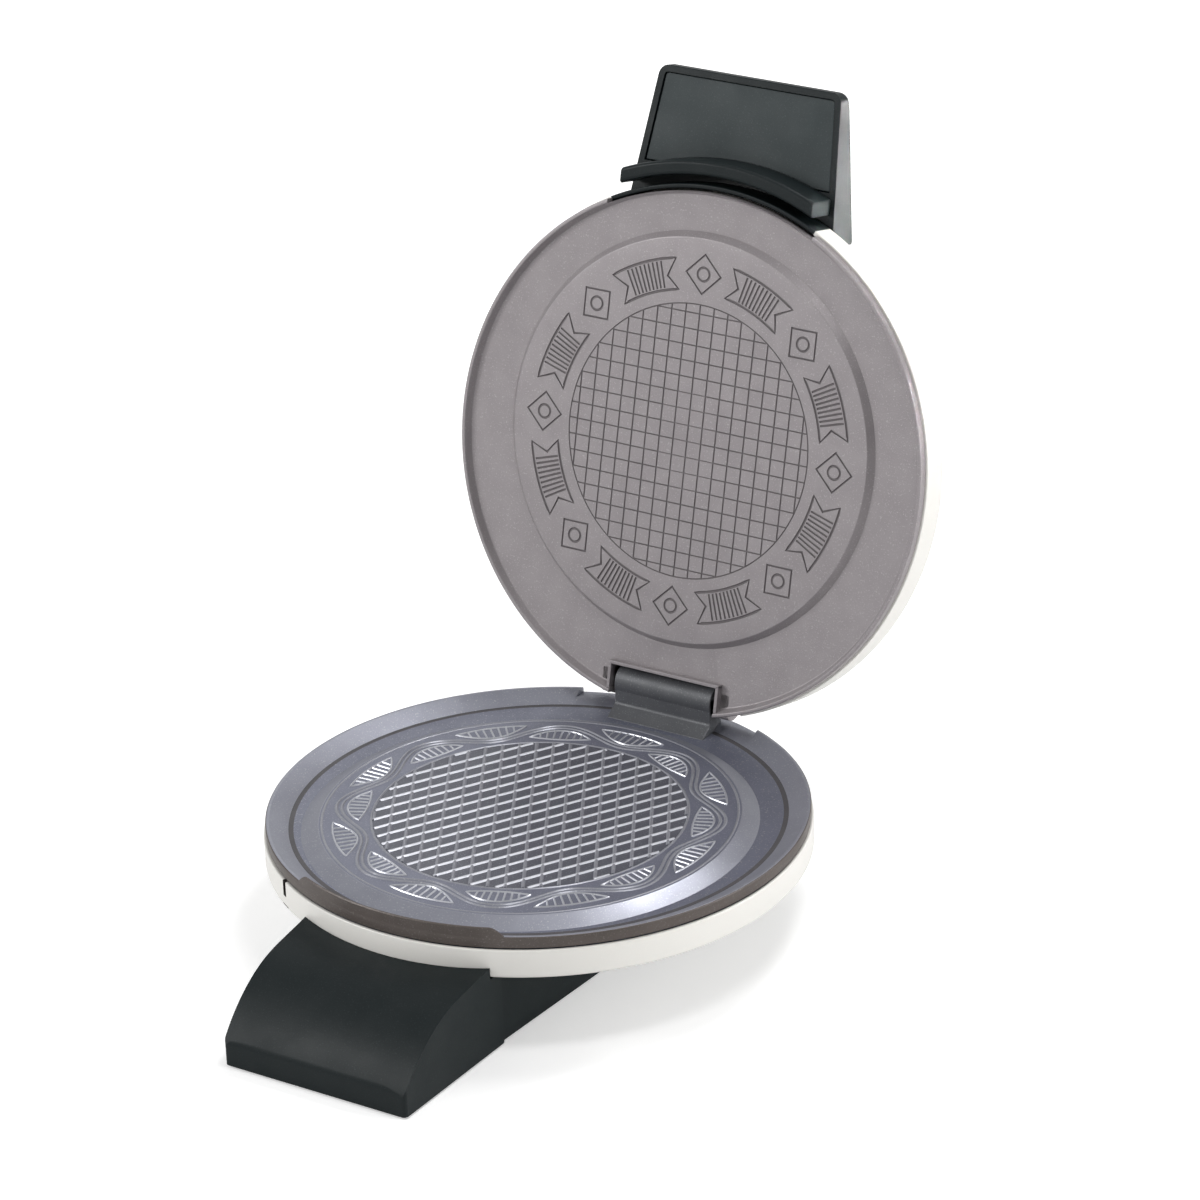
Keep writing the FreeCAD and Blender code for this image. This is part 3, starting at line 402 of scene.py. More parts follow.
# The dimmer painted highlight, for the other raised lines.
ridge_highlight_dim = finish_of("nonstick_dim_ridge_highlight", (0.30, 0.305, 0.34), (0.25, 0.255, 0.29), rough=0.34, spread=0.05,
                       scale=220, bump=0.03, metal=0.5, speck=(0.42, 0.43, 0.46), speck_size=1500)


def line_tree():
    """A geometry tree that copies a drawn motif round a circle and gives its lines a wedge section."""
    tree = bpy.data.node_groups.new("line_motif", "GeometryNodeTree")
    tree.interface.new_socket("Geometry", in_out="INPUT", socket_type="NodeSocketGeometry")
    tree.interface.new_socket("Geometry", in_out="OUTPUT", socket_type="NodeSocketGeometry")
    tree.interface.new_socket("Copies", in_out="INPUT", socket_type="NodeSocketInt")
    for label in ("First Angle", "Line Width", "Crest Width", "Foot Level", "Crest Level"):
        tree.interface.new_socket(label, in_out="INPUT", socket_type="NodeSocketFloat")
    tree.interface.new_socket("Material", in_out="INPUT", socket_type="NodeSocketMaterial")
    add, link = tree.nodes.new, tree.links.new
    given, out = add("NodeGroupInput"), add("NodeGroupOutput")

    def scaled(label, factor):
        node = add("ShaderNodeMath")
        node.operation = "MULTIPLY"
        node.inputs[1].default_value = factor
        link(given.outputs[label], node.inputs[0])
        return node.outputs[0]

    section = add("GeometryNodeCurvePrimitiveQuadrilateral")
    section.mode = "POINTS"
    corners = (("Line Width", -1, "Foot Level"), ("Line Width", 1, "Foot Level"),
               ("Crest Width", 1, "Crest Level"), ("Crest Width", -1, "Crest Level"))
    for number, (width, side, level) in enumerate(corners):
        corner = add("ShaderNodeCombineXYZ")
        link(scaled(width, side / 2), corner.inputs["X"])
        link(scaled(level, -1), corner.inputs["Y"])
        link(corner.outputs[0], section.inputs[f"Point {number + 1}"])
    to_curve = add("GeometryNodeMeshToCurve")
    upright = add("GeometryNodeSetCurveNormal")
    upright.mode = "Z_UP"
    sweep = add("GeometryNodeCurveToMesh")
    sweep.inputs["Fill Caps"].default_value = True
    link(given.outputs["Geometry"], to_curve.inputs[0])
    link(to_curve.outputs[0], upright.inputs["Curve"])
    link(upright.outputs[0], sweep.inputs["Curve"])
    link(section.outputs[0], sweep.inputs["Profile Curve"])

    share = add("ShaderNodeMath")
    share.operation = "DIVIDE"
    share.inputs[0].default_value = 2 * pi
    turn = add("ShaderNodeMath")
    turn.operation = "MULTIPLY_ADD"
    angle = add("ShaderNodeCombineXYZ")
    link(given.outputs["Copies"], share.inputs[1])
    link(add("GeometryNodeInputIndex").outputs[0], turn.inputs[0])
    link(share.outputs[0], turn.inputs[1])
    link(given.outputs["First Angle"], turn.inputs[2])
    link(turn.outputs[0], angle.inputs["Z"])

    spots = add("GeometryNodePoints")
    stamp = add("GeometryNodeInstanceOnPoints")
    real, paint = add("GeometryNodeRealizeInstances"), add("GeometryNodeSetMaterial")
    link(given.outputs["Copies"], spots.inputs["Count"])
    link(spots.outputs[0], stamp.inputs["Points"])
    link(sweep.outputs[0], stamp.inputs["Instance"])
    link(angle.outputs[0], stamp.inputs["Rotation"])
    link(stamp.outputs[0], real.inputs[0])
    link(real.outputs[0], paint.inputs["Geometry"])
    link(given.outputs["Material"], paint.inputs["Material"])
    link(paint.outputs[0], out.inputs[0])
    return tree


lines = line_tree()


def grown(name, strokes, values):
    """Draws strokes, each a list of (x, y) points and whether it closes, and gives them their section."""
    wires = bmesh.new()
    for points, closed in strokes:
        row = [wires.verts.new((x, y, 0)) for x, y in points]
        for a, b in zip(row, row[1:] + (row[:1] if closed else [])):
            wires.edges.new((a, b))
    made = as_object(wires, name)
    run = made.modifiers.new("grow", "NODES")
    run.node_group = lines
    for item in lines.interface.items_tree:
        if item.in_out == "INPUT" and item.name in values:
            run[item.identifier] = values[item.name]
    flattened(made)
    bm = bmesh.new()
    bm.from_mesh(made.data)
    bmesh.ops.recalc_face_normals(bm, faces=bm.faces)
    bm.to_mesh(made.data)
    bm.free()
    return made


LINE_ROOT = 0.02


def raised(name, strokes, width, crest, height, coat, copies=1, first=0.0):
    """Lines that stand on the lower field."""
    made = grown(name, strokes, {
        "Copies": copies, "First Angle": first, "Line Width": width, "Crest Width": crest,
        "Foot Level": FIELD_TOP - LINE_ROOT, "Crest Level": FIELD_TOP + height, "Material": coat})
    dressed(made, "base", coat, field_place)


def polar(r, degrees):
    """The point at a radius and an angle from the rear."""
    return (r * sin(radians(degrees)), r * cos(radians(degrees)))


def circle(r, y=0.0, steps=160):
    """A closed round stroke about a point toward the rear."""
    turns = [2 * pi * k / steps for k in range(steps)]
    return [(r * sin(a), y + r * cos(a)) for a in turns], True


def chords(pitch, radius, lean):
    """Parallel lines across a disc, leaning from Y."""
    count = int(radius / pitch)
    strokes = []
    for k in range(-count, count + 1):
        x = k * pitch
        reach = sqrt(max(0.0, radius ** 2 - x ** 2))
        ends = [(x * cos(lean) + y * sin(lean), y * cos(lean) - x * sin(lean)) for y in (-reach, reach)]
        strokes.append((ends, False))
    return strokes


def bowed(half, ends_r, middle_r, steps=24):
    """An arc about the rear that runs from ends_r through middle_r."""
    spread = [half * (2 * k / steps - 1) for k in range(steps + 1)]
    return [polar(middle_r + (ends_r - middle_r) * (a / half) ** 2, a) for a in spread]


def lens(half, ends_r, low_r, high_r, strokes=7, hatch_half=7.0, gap=0.4):
    """A lens outline between two bowed arcs, with hatching across it."""
    shape = [(bowed(half, ends_r, low_r) + bowed(half, ends_r, high_r)[-2:0:-1], True)]
    for k in range(strokes):
        a = hatch_half * (2 * k / (strokes - 1) - 1)
        bend = (a / half) ** 2
        shape.append(([polar(low_r + (ends_r - low_r) * bend + gap, a),
                       polar(high_r + (ends_r - high_r) * bend - gap, a)], False))
    return shape


GRID_PITCH, GRID_LEAN, RING_OUT, EDGE_IN = 7.5, radians(30.5), 0.9, 1.4
right_lines = chords(GRID_PITCH, GRID_R, GRID_LEAN)
left_lines = chords(GRID_PITCH, GRID_R, -GRID_LEAN)
raised("grid_right", right_lines, width=1.9, crest=0.5, height=0.55, coat=ridge_highlight_bright)
raised("grid_left", left_lines, width=1.7, crest=0.5, height=0.50, coat=ridge_highlight_dim)
raised("grid_ring", [circle(GRID_R + RING_OUT)], width=1.3, crest=0.3, height=0.35, coat=ridge_highlight_dim)
raised("field_edge", [circle(FIELD_R - EDGE_IN)], width=1.2, crest=0.4, height=0.22, coat=ridge_highlight_dim)
WAVES, WAVE_R, WAVE_SWING, WAVE_GAP = 8, 78.5, 5.5, 2.4
half_step = 180 / WAVES
for name, offset in (("wave_inner", -WAVE_GAP / 2), ("wave_outer", WAVE_GAP / 2)):
    swings = [WAVE_SWING * cos(radians(WAVES * (a - half_step))) for a in range(360)]
    wave = [polar(WAVE_R + offset + swing, a) for a, swing in enumerate(swings)]
    raised(name, [(wave, True)], width=1.5, crest=0.4, height=0.45, coat=ridge_highlight_dim)
outer_lens = lens(half=10.8, ends_r=85.0, low_r=75.8, high_r=85.6)
inner_lens = lens(half=10.6, ends_r=74.0, low_r=71.4, high_r=80.2)
raised("outer_lenses", outer_lens, width=1.0, crest=0.35, height=0.42, coat=ridge_highlight_bright, copies=WAVES)
raised("inner_lenses", inner_lens, width=1.0, crest=0.35, height=0.42, coat=ridge_highlight_bright, copies=WAVES,
       first=radians(half_step))

# Front foot and pedestal: black moulded plastic under the pan, with a satin skin. The wedge foot is
# screwed to the pedestal from inside, two flat covers close them below, and rubber pads carry them.
black = finish_of("black_plastic", (0.005, 0.009, 0.010), (0.008, 0.012, 0.013), rough=0.44, spread=0.06,
                  scale=80, bump=0.14, gloss=0.2, speck=(0.017, 0.022, 0.024), speck_size=1800)
rubber = finish_of("rubber", (0.02, 0.02, 0.02), (0.03, 0.03, 0.03), rough=0.75, spread=0.08, scale=120,
                   bump=0.4)
SAME_POINT, SAME_FLAT = 1e-6, radians(0.4)


def softened(node, name, width):
    """A copy of a CAD node with its faces joined and its sharp edges rounded."""
    bm = bmesh.new()
    bm.from_mesh(frame["nodes"][node].data)
    bmesh.ops.remove_doubles(bm, verts=bm.verts, dist=SAME_POINT)
    bmesh.ops.dissolve_limit(bm, angle_limit=SAME_FLAT, verts=bm.verts, edges=bm.edges)
    return edged(as_object(bm, name), width * MM, limit=40)


def finished_nodes(material, *names):
    """Gives CAD nodes that stay as they are their finish."""
    for name in names:
        node = frame["nodes"][name]
        node.data.materials.clear()
        node.data.materials.append(material)


foot = softened("front_foot", "foot_wedge", width=0.9)
dressed(foot, "base", black, nodes=["front_foot"])
pedestal = softened("pedestal", "pedestal_box", width=0.6)
dressed(pedestal, "base", black, nodes=["pedestal"])
finished_nodes(black, "bottom_cover", "foot_cover", "cord_inlet")
finished_nodes(rubber, "rubber_feet")

# Hinge pin, washers, clips, screws and small inner fittings: plated steel, bright and a little worn.
# They are turned or pressed, and bought in.
steel = finish_of("plated_steel", (0.56, 0.56, 0.57), (0.46, 0.46, 0.47), rough=0.38, spread=0.08,
                  scale=200, bump=0.1, metal=1.0)
finished_nodes(steel, "hinge_pin", "hinge_washers", "hinge_clips", "foot_screws", "cover_screws",
               "pedestal_screws", "lower_plate_screws", "lower_heater_pins", "lower_heater_clamps",
               "lower_thermostat_strap", "lower_posts", "upper_heater_pins", "upper_heater_clamps",
               "upper_posts", "upper_plate_screws", "thermal_fuse_strap", "handle_screws", "knob_shaft")

# Upper plate: the lid's casting, with a warmer grey speckled coat and a thin rim, which is cut back
# for the front lip. It has a notch for the hinge tab. The lid is drawn in millimetres as if its face
# lay up, with zero height at its rim, and is turned about the hinge.
upper_coat = finish_of("nonstick_upper", (0.270, 0.248, 0.256), (0.310, 0.286, 0.294), rough=0.44,
                       spread=0.05, scale=90, bump=0.45, metal=0.3, speck=(0.40, 0.376, 0.383),
                       speck_size=1500)
LID_HINGE = -8.2
hinge = next(j for j in frame["joints"] if j["name"] == "lid_hinge")
lid_turn = radians(180 - hinge["range_deg"][1])
lid_place = (Matrix.Translation(Vector(hinge["pos_m"])) @ Matrix.Rotation(lid_turn, 4, "X")
             @ Matrix.Scale(MM, 4) @ Matrix.Translation((0, HINGE_BACK, -LID_HINGE)))
UPPER_UNDER, UPPER_SIDE, UPPER_TROUGH, UPPER_SLOPE = -8.7, -4.4, -3.7, 1.6
lid_dish = as_object(turned([(0, UPPER_UNDER), (SEAT_R, UPPER_UNDER), (SEAT_R, UPPER_SIDE),
                             (PLATE_R, UPPER_SIDE, SIDE_EDGE), (PLATE_R, 0, RIM_EDGE),
                             (PLATE_R - LAND, 0, RIM_EDGE),
                             (PLATE_R - LAND - UPPER_SLOPE, UPPER_TROUGH, FOOT_BEND), (0, UPPER_TROUGH)]),
                     "upper_dish")
LIP_SPARE = 0.6
room_in, room_out, room_half = LIP_IN - LIP_SPARE, PLATE_R + CLEAR, LIP_HALF_FOOT + LIP_SPARE
lip_room = as_object(turned([(room_in, UPPER_SIDE), (room_out, UPPER_SIDE), (room_out, CLEAR),
                             (room_in, CLEAR)]), "lip_room")
carve(lip_room, [as_object(boxed((-room_half, 0, UPPER_SIDE - CLEAR),
                                 (room_half, room_out + CLEAR, 2 * CLEAR)), "span")], "INTERSECT")
NOTCH_HALF, NOTCH_TOP = 27.2, -101.5
carve(lid_dish, [as_object(boxed((-NOTCH_HALF, -PLATE_R - CLEAR, UPPER_UNDER - CLEAR),
                                 (NOTCH_HALF, NOTCH_TOP, CLEAR)), "notch"), lip_room])
dressed(lid_dish, "lid", upper_coat, lid_place, ["upper_plate"])

# Notch border and hinge ears: cast with the upper plate. The border stands round the notch, and an
# ear at each side of it takes the hinge pin.
BORDER, BORDER_BACK, BORDER_TOP, BORDER_LAP, BORDER_ROOT = 1.6, -112.6, -0.3, 0.3, 0.5
border_half = NOTCH_HALF + BORDER
border_end = NOTCH_TOP + BORDER - BORDER_LAP
for name, low, high in (("notch_border_top", (-border_half, NOTCH_TOP), (border_half, NOTCH_TOP + BORDER)),
                        ("notch_border_left", (-border_half, BORDER_BACK), (-NOTCH_HALF, border_end)),
                        ("notch_border_right", (NOTCH_HALF, BORDER_BACK), (border_half, border_end))):
    border = as_object(boxed((*low, UPPER_TROUGH - BORDER_ROOT), (*high, BORDER_TOP)), name)
    dressed(edged(border, width=0.35), "lid", upper_coat, lid_place)
EAR_R, EAR_ROOT, EAR_FOOT, EAR_BEND, EAR_HALF, EAR_PLACE = 7.0, 16.0, -14.5, 0.6, 3.0, 30.2
EAR_SWEEP, EAR_STEPS = 250, 40
ear_turns = [radians(EAR_SWEEP * (1 - k / EAR_STEPS)) for k in range(EAR_STEPS + 1)]
for side, name in ((-1, "hinge_ear_left"), (1, "hinge_ear_right")):
    ear = extruded([(EAR_ROOT - HINGE_BACK, UPPER_UNDER), (EAR_ROOT - HINGE_BACK, EAR_FOOT, EAR_BEND)]
                   + [(EAR_R * cos(a) - HINGE_BACK, LID_HINGE + EAR_R * sin(a)) for a in ear_turns], EAR_HALF)
    ear.transform(Matrix.Translation((side * EAR_PLACE, 0, 0)))
    ear_object = as_object(ear, name)
    above = boxed((-PLATE_R, -PLATE_R - CLEAR, UPPER_TROUGH), (PLATE_R, 0, CLEAR))
    carve(ear_object, [as_object(above, "flush")])
    dressed(edged(ear_object, width=0.3), "lid", upper_coat, lid_place)

# Upper baking field: engraved lines in the coat of the same casting, a square grid in a circle,
# ringed by eight squares on their corners and eight swallow-tailed ribbons with hatching.
# Painted shade: the walls and floors of the grooves are painted darker than the coat.
groove_shade = finish_of("nonstick_groove_painted_shade", (0.145, 0.131, 0.136), (0.175, 0.159, 0.164), rough=0.55,
                        spread=0.06, scale=120, bump=0.2, metal=0.2, speck=(0.15, 0.14, 0.145),
                        speck_size=1500)
UPPER_R, UPPER_TOP, UPPER_SHIFT = 90.5, -0.6, 5.6
UPPER_EDGE, UPPER_ROOT, UPPER_BEND = 2.6, 0.4, 0.8
upper_foot = UPPER_R + UPPER_EDGE
upper_field = as_object(turned([(0, UPPER_TROUGH - UPPER_ROOT),
                                (upper_foot + ROOT_OUT, UPPER_TROUGH - UPPER_ROOT),
                                (upper_foot, UPPER_TROUGH, ROOT_BEND), (UPPER_R, UPPER_TOP, UPPER_BEND),
                                (0, UPPER_TOP)]), "upper_field")
GROOVE_FLOOR, GROOVE_MOUTH = 0.25, 1.5


def groove(name, strokes, width, depth, copies=1, first=0.0):
    """A cutter for engraved lines in the upper field, wider at its mouth than at its floor."""
    return grown(name, strokes, {
        "Copies": copies, "First Angle": first, "Line Width": GROOVE_FLOOR * width,
        "Crest Width": GROOVE_MOUTH * width, "Foot Level": UPPER_TOP - depth,
        "Crest Level": UPPER_TOP + depth, "Material": upper_coat})


UPPER_GRID, UPPER_PITCH, GRID_GAP = 61.3, 7.15, 0.3
SQUARES, SQUARE_R, SQUARE_HALF, EYE_R = 8, 74.8, 8.8, 3.0
RIBBON_LOW, RIBBON_MID, RIBBON_HIGH, RIBBON_STEPS = 67.3, 73.6, 81.2, 16
LOW_HALF, MID_HALF, HIGH_HALF = 12.4, 8.3, 12.0
HATCH_PITCH, HATCH_SIDE, HATCH_GAP = 1.6, 4, 1.0
up_lines = chords(UPPER_PITCH, UPPER_GRID - GRID_GAP, 0)
across_lines = chords(UPPER_PITCH, UPPER_GRID - GRID_GAP, pi / 2)
square = [(0, SQUARE_R + SQUARE_HALF), (SQUARE_HALF, SQUARE_R), (0, SQUARE_R - SQUARE_HALF),
          (-SQUARE_HALF, SQUARE_R)]
eye_ring = circle(EYE_R, y=SQUARE_R, steps=40)
sweep = [2 * k / RIBBON_STEPS - 1 for k in range(RIBBON_STEPS + 1)]
ribbon = [polar(RIBBON_LOW, LOW_HALF * t) for t in sweep] + [polar(RIBBON_MID, MID_HALF)]
ribbon += [polar(RIBBON_HIGH, -HIGH_HALF * t) for t in sweep] + [polar(RIBBON_MID, -MID_HALF)]
hatch_turns = [HATCH_PITCH * k for k in range(-HATCH_SIDE, HATCH_SIDE + 1)]
hatch = [([polar(RIBBON_LOW + HATCH_GAP, a), polar(RIBBON_HIGH - HATCH_GAP, a)], False) for a in hatch_turns]
between = pi / SQUARES
carve(upper_field, [groove("grid_up", up_lines, width=0.9, depth=0.42),
                    groove("grid_across", across_lines, width=0.75, depth=0.36),
                    groove("grid_circle", [circle(UPPER_GRID)], width=0.7, depth=0.36),
                    groove("squares", [(square, True)], width=1.4, depth=0.55, copies=SQUARES),
                    groove("square_eyes", [eye_ring], width=1.3, depth=0.5, copies=SQUARES),
                    groove("ribbons", [(ribbon, True)], width=1.4, depth=0.55, copies=SQUARES, first=between),
                    groove("ribbon_hatch", hatch, width=1.1, depth=0.5, copies=SQUARES, first=between)])
GROOVE_DEEPEST, GROOVE_SKIN, PLAIN_EDGE = 0.7, 0.05, 4
groove_shade_faces = chosen(upper_field, lambda r, z, middle: r < UPPER_R - PLAIN_EDGE
                      and UPPER_TOP - GROOVE_DEEPEST < z < UPPER_TOP - GROOVE_SKIN)
upper_place = lid_place @ Matrix.Translation((0, UPPER_SHIFT, 0))
dressed(upper_field, "lid", upper_coat, upper_place)
# Painted shade in the grooves.
painted(upper_field, groove_shade, groove_shade_faces)

# Lid cover: a domed pressing in the same cream enamel as the ring, cut away round the hinge, with a
# lined recess there. Under the handle its wall is black. Four screws sit in wells on its back.
COVER_R, COVER_EDGE, SIDE_END, CROWN, COVER_WALL = 119.0, -4.6, -19.5, -35.5, 2.0
SIDE_BEND, COVER_LIP, DOME_END, DOME_STEP = 3, 0.5, 114, 3
ball = (COVER_R ** 2 + (SIDE_END - CROWN) ** 2) / (2 * (SIDE_END - CROWN))


def dome(r, inset=0.0):
    """The height of the domed back at a radius, or of its inner face."""
    return CROWN + ball - sqrt((ball - inset) ** 2 - r * r)


inner_r = COVER_R - COVER_WALL
outside = [(r, dome(r)) for r in range(0, DOME_END + 1, DOME_STEP)] + [(COVER_R, SIDE_END, SIDE_BEND)]
inside = [(r, dome(r, COVER_WALL)) for r in range(DOME_END, -1, -DOME_STEP)]
lid_dome = as_object(turned(outside + [(COVER_R, COVER_EDGE, COVER_LIP), (inner_r, COVER_EDGE, COVER_LIP),
                                       (inner_r, dome(inner_r, COVER_WALL))] + inside), "lid_dome")
whole = as_object(turned(outside + [(COVER_R, COVER_EDGE), (0, COVER_EDGE)]), "whole_dome")
WINDOW_HALF, WINDOW_TOP, WINDOW_DEEP, CHORD, RECESS_FACE = 39, -91.5, -17.5, -107.5, -9.0
recess = as_object(boxed((-WINDOW_HALF - COVER_WALL, -COVER_R, WINDOW_DEEP - COVER_WALL),
                         (WINDOW_HALF + COVER_WALL, WINDOW_TOP + COVER_WALL, RECESS_FACE)), "hinge_recess")
carve(recess, [whole], "INTERSECT")
for piece in (lid_dome, recess):
    window = boxed((-WINDOW_HALF, -COVER_R - CLEAR, WINDOW_DEEP), (WINDOW_HALF, WINDOW_TOP, CLEAR))
    chord = boxed((-WINDOW_HALF, -COVER_R - CLEAR, CROWN - CLEAR), (WINDOW_HALF, CHORD, CLEAR))
    carve(piece, [as_object(window, "window"), as_object(chord, "chord")])
WELL_PLACE, WELL_R, WELL_OUT, WELL_BORE = 34, 4.2, 6.5, 2.2
WELL_RISE, WELL_FOOT, WELL_STEPS = 1, 2, 48
well_floor = dome(WELL_PLACE * sqrt(2)) + COVER_WALL
wells = [(x, y) for x in (-WELL_PLACE, WELL_PLACE) for y in (-WELL_PLACE, WELL_PLACE)]
for number, (x, y) in enumerate(wells):
    drill = turned([(0, CROWN - CLEAR), (WELL_R, CROWN - CLEAR), (WELL_R, SIDE_END), (0, SIDE_END)],
                   WELL_STEPS)
    drill.transform(Matrix.Translation((x, y, 0)))
    carve(lid_dome, [as_object(drill, "drill")])
    seat = turned([(WELL_BORE, well_floor), (WELL_R, well_floor), (WELL_R, well_floor - WELL_RISE),
                   (WELL_OUT, well_floor - WELL_RISE), (WELL_OUT, well_floor + WELL_FOOT),
                   (WELL_BORE, well_floor + WELL_FOOT)], WELL_STEPS)
    seat.transform(Matrix.Translation((x, y, 0)))
    dressed(as_object(seat, f"screw_well_{number + 1}"), "lid", cream, lid_place)
COLLAR_LEFT, COLLAR_RIGHT, COLLAR_TOP, COLLAR_SKIN = -54, 50.5, 1.5, 0.5
collar_faces = chosen(lid_dome, lambda r, z, middle: r > inner_r - COLLAR_SKIN and z > SIDE_END + COLLAR_TOP
                      and middle.y > 0 and COLLAR_LEFT < middle.x < COLLAR_RIGHT)
dressed(lid_dome, "lid", cream, lid_place, ["lid_cover"])
painted(lid_dome, black, collar_faces)
dressed(recess, "lid", cream, lid_place)

# Control boss: a raised round seat on the cover's back for the browning control. It is pressed with
# the cover, in the same enamel, and bored for the control's shaft.
CONTROL_PLACE, BOSS_R, BOSS_BORE, BOSS_RISE, BOSS_DEEP, BOSS_EDGE = 58.0, 17, 5.6, 3.4, 6.5, 1.2
boss_face = dome(CONTROL_PLACE) - BOSS_RISE
boss = turned([(BOSS_BORE, boss_face), (BOSS_R, boss_face, BOSS_EDGE), (BOSS_R, boss_face + BOSS_DEEP),
               (BOSS_BORE, boss_face + BOSS_DEEP)], segments=96)
boss.transform(Matrix.Translation((0, CONTROL_PLACE, 0)))
dressed(as_object(boss, "control_boss"), "lid", cream, lid_place)

# Handle: a black moulded wedge screwed to the cover, with a greyer panel let into its face and a
# curved finger guard that stands along the rim.
panel = finish_of("panel_plastic", (0.024, 0.033, 0.035), (0.030, 0.040, 0.042), rough=0.50, spread=0.06,
                  scale=80, bump=0.16, gloss=0.28, speck=(0.045, 0.056, 0.058), speck_size=1800)
wedge = softened("handle_shell", "handle_wedge", width=0.8)
dressed(wedge, "lid", black, nodes=["handle_shell"])
inlay = softened("handle_panel", "handle_inlay", width=0.4)
dressed(inlay, "lid", panel, nodes=["handle_panel"])
guard = softened("finger_guard", "guard_bar", width=0.8)
dressed(guard, "lid", black, nodes=["finger_guard"])

# Ready light and browning control: a red lens with its lamp in the handle, and a plastic control
# body under the boss, with a knob on its shaft. The other switching parts have the same plastic.
red = finish_of("red_lens", (0.45, 0.02, 0.015), (0.55, 0.03, 0.02), rough=0.16, spread=0.04, scale=300,
                bump=0.03, coat=0.5)
glass = finish_of("lamp_glass", (0.65, 0.45, 0.25), (0.75, 0.55, 0.30), rough=0.12, spread=0.04, scale=300,
                  bump=0.03)
control = finish_of("control_body", (0.16, 0.13, 0.09), (0.20, 0.165, 0.12), rough=0.6, spread=0.08,
                    scale=150, bump=0.2)
knob = softened("browning_knob", "control_knob", width=0.4)
dressed(knob, "knob", black, nodes=["browning_knob"])
finished_nodes(red, "ready_lens")
finished_nodes(glass, "ready_lamp")
finished_nodes(control, "browning_control", "terminal_block", "lower_thermostat", "thermal_fuse")

# Heating parts inside both halves: sheathed elements clamped to the plates, and bright aluminium
# reflectors behind them.
sheath = finish_of("heater_sheath", (0.11, 0.10, 0.10), (0.17, 0.15, 0.14), rough=0.5, spread=0.08,
                   scale=250, bump=0.2, metal=0.8)
bright = finish_of("bright_aluminium", (0.75, 0.76, 0.77), (0.68, 0.69, 0.70), rough=0.36, spread=0.06,
                   scale=150, bump=0.1, metal=1.0)
finished_nodes(sheath, "lower_heater", "upper_heater")
finished_nodes(bright, "lower_reflector", "upper_reflector")

# Floor: a plain pale sheet under the object, in metres like all that follows. It keeps the shadow,
# and to the eye it grows white away from the object.
FLOOR_HALF, FLOOR_NEAR, FLOOR_FAR, LIFT_NEAR, LIFT_FAR = 6, 0.5, 1.8, 0.36, 1.0
floor_bm = bmesh.new()
bmesh.ops.create_grid(floor_bm, x_segments=1, y_segments=1, size=FLOOR_HALF)
floor = as_object(floor_bm, "floor")
floor_paint = bpy.data.materials.new("floor_paint")
floor_paint.use_nodes = True
ground = floor_paint.node_tree
matt = ground.nodes["Principled BSDF"]
matt.inputs["Base Color"].default_value = (0.90, 0.90, 0.90, 1)
matt.inputs["Roughness"].default_value = 0.9
matt.inputs["Emission Color"].default_value = (1, 1, 1, 1)
away = ground.nodes.new("ShaderNodeVectorMath")
away.operation = "LENGTH"
ground.links.new(ground.nodes.new("ShaderNodeTexCoord").outputs["Object"], away.inputs[0])
paler = ranged(ground, away.outputs["Value"], FLOOR_NEAR, FLOOR_FAR, LIFT_NEAR, LIFT_FAR)
lift = ground.nodes.new("ShaderNodeMath")
lift.operation = "MULTIPLY"
ground.links.new(ground.nodes.new("ShaderNodeLightPath").outputs["Is Camera Ray"], lift.inputs[0])
ground.links.new(paler, lift.inputs[1])
ground.links.new(lift.outputs[0], matt.inputs["Emission Strength"])
floor.data.materials.append(floor_paint)

# Studio air: white to the eye, dimmer as a light, and between the two in mirrors. As a light and in
# mirrors it darkens toward the front right.
DARK_WAY, DARK_FROM, DARK_FULL, DARK_LEVEL = (0.80, -0.58, -0.10), 0.35, 0.85, 0.10
DIFFUSE_LEVEL, MIRROR_LEVEL = 0.32, 0.60
world = bpy.data.worlds.new("studio")
bpy.context.scene.world = world
world.use_nodes = True
sky = world.node_tree
rays = sky.nodes.new("ShaderNodeLightPath").outputs
seen = sky.nodes.new("ShaderNodeMath")
seen.operation = "MAXIMUM"
sky.links.new(rays["Is Camera Ray"], seen.inputs[0])
sky.links.new(rays["Is Transmission Ray"], seen.inputs[1])
facing = sky.nodes.new("ShaderNodeVectorMath")
facing.operation = "DOT_PRODUCT"
facing.inputs[1].default_value = DARK_WAY
sky.links.new(sky.nodes.new("ShaderNodeTexCoord").outputs["Generated"], facing.inputs[0])
dim = ranged(sky, facing.outputs["Value"], DARK_FROM, DARK_FULL, 1.0, DARK_LEVEL)
around = sky.nodes.new("ShaderNodeMath")
around.operation = "MULTIPLY"
sky.links.new(ranged(sky, rays["Is Glossy Ray"], 0, 1, DIFFUSE_LEVEL, MIRROR_LEVEL), around.inputs[0])
sky.links.new(dim, around.inputs[1])
level = sky.nodes.new("ShaderNodeMix")
sky.links.new(seen.outputs[0], level.inputs["Factor"])
sky.links.new(around.outputs[0], level.inputs["A"])
level.inputs["B"].default_value = 1.0
sky.links.new(level.outputs["Result"], sky.nodes["Background"].inputs["Strength"])
sky.nodes["Background"].inputs["Color"].default_value = (1, 1, 1, 1)


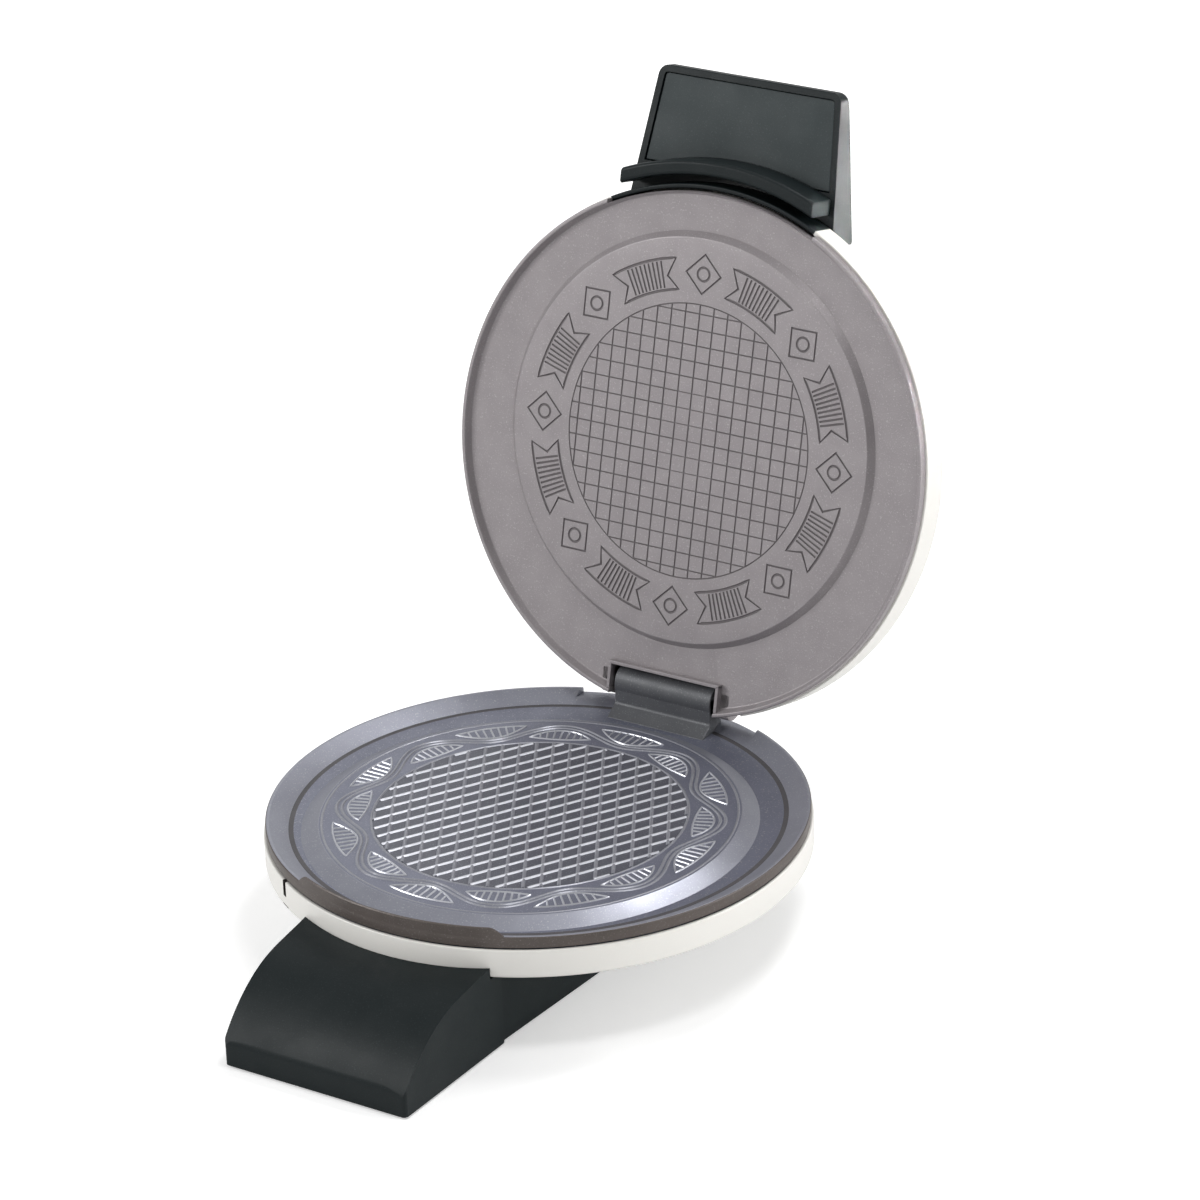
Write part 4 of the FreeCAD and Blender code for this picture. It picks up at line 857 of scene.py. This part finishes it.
# Lamps: soft boxes round the object at a plain level, and one low narrow lamp behind it on the
# right, which glares on the handle's side.
def lamp(name, at, aim, size, power, spread=180):
    """A rectangular lamp at a place, turned to what it lights."""
    light = bpy.data.lights.new(name, "AREA")
    light.shape = "RECTANGLE"
    light.size, light.size_y = size
    light.energy = power
    light.spread = radians(spread)
    made = bpy.data.objects.new(name, light)
    made.location = at
    made.rotation_euler = (Vector(aim) - Vector(at)).to_track_quat("-Z", "Y").to_euler()
    bpy.context.scene.collection.objects.link(made)


lamp("right_softbox", at=(1.80, 0.60, 0.42), aim=(0, 0.05, 0.15), size=(0.9, 0.6), power=22)
lamp("front_softbox", at=(0.25, -1.90, 0.38), aim=(0, 0, 0.12), size=(1.0, 0.5), power=7)
lamp("edge_light", at=(1.15, 1.45, 0.16), aim=(0.06, 0.18, 0.29), size=(0.14, 0.14), power=0.10, spread=5)
lamp("rear_left_softbox", at=(-0.95, 1.35, 0.85), aim=(-0.05, 0.0, 0.06), size=(0.9, 0.9), power=1.2)
lamp("left_softbox", at=(-1.15, -1.0, 0.95), aim=(-0.05, 0.1, 0.18), size=(0.6, 0.6), power=13)
lamp("top_softbox", at=(0.18, 0.78, 1.41), aim=(0.06, -0.04, 0.05), size=(0.3, 0.55), power=6.5)
lamp("rim_softbox", at=(0.48, -0.10, 1.45), aim=(0, 0, 0.05), size=(0.35, 0.35), power=4.6)

# Camera: a long lens at the front right, above the object, held a little out of level. Its place,
# aim and roll are those of the photograph.
EYE, AIM = Vector((1.10465, -1.63923, 1.06503)), Vector((0.009557, 0.028380, 0.137742))
ROLL = radians(-2.25448)
camera = bpy.data.cameras.new("camera")
camera.lens = 153.455
camera.sensor_width = 36
eye = bpy.data.objects.new("camera", camera)
bpy.context.scene.collection.objects.link(eye)
eye.matrix_world = (Matrix.Translation(EYE) @ (AIM - EYE).to_track_quat("-Z", "Y").to_matrix().to_4x4()
                    @ Matrix.Rotation(ROLL, 4, "Z"))
bpy.context.scene.camera = eye
bpy.context.scene.view_settings.view_transform = "Standard"
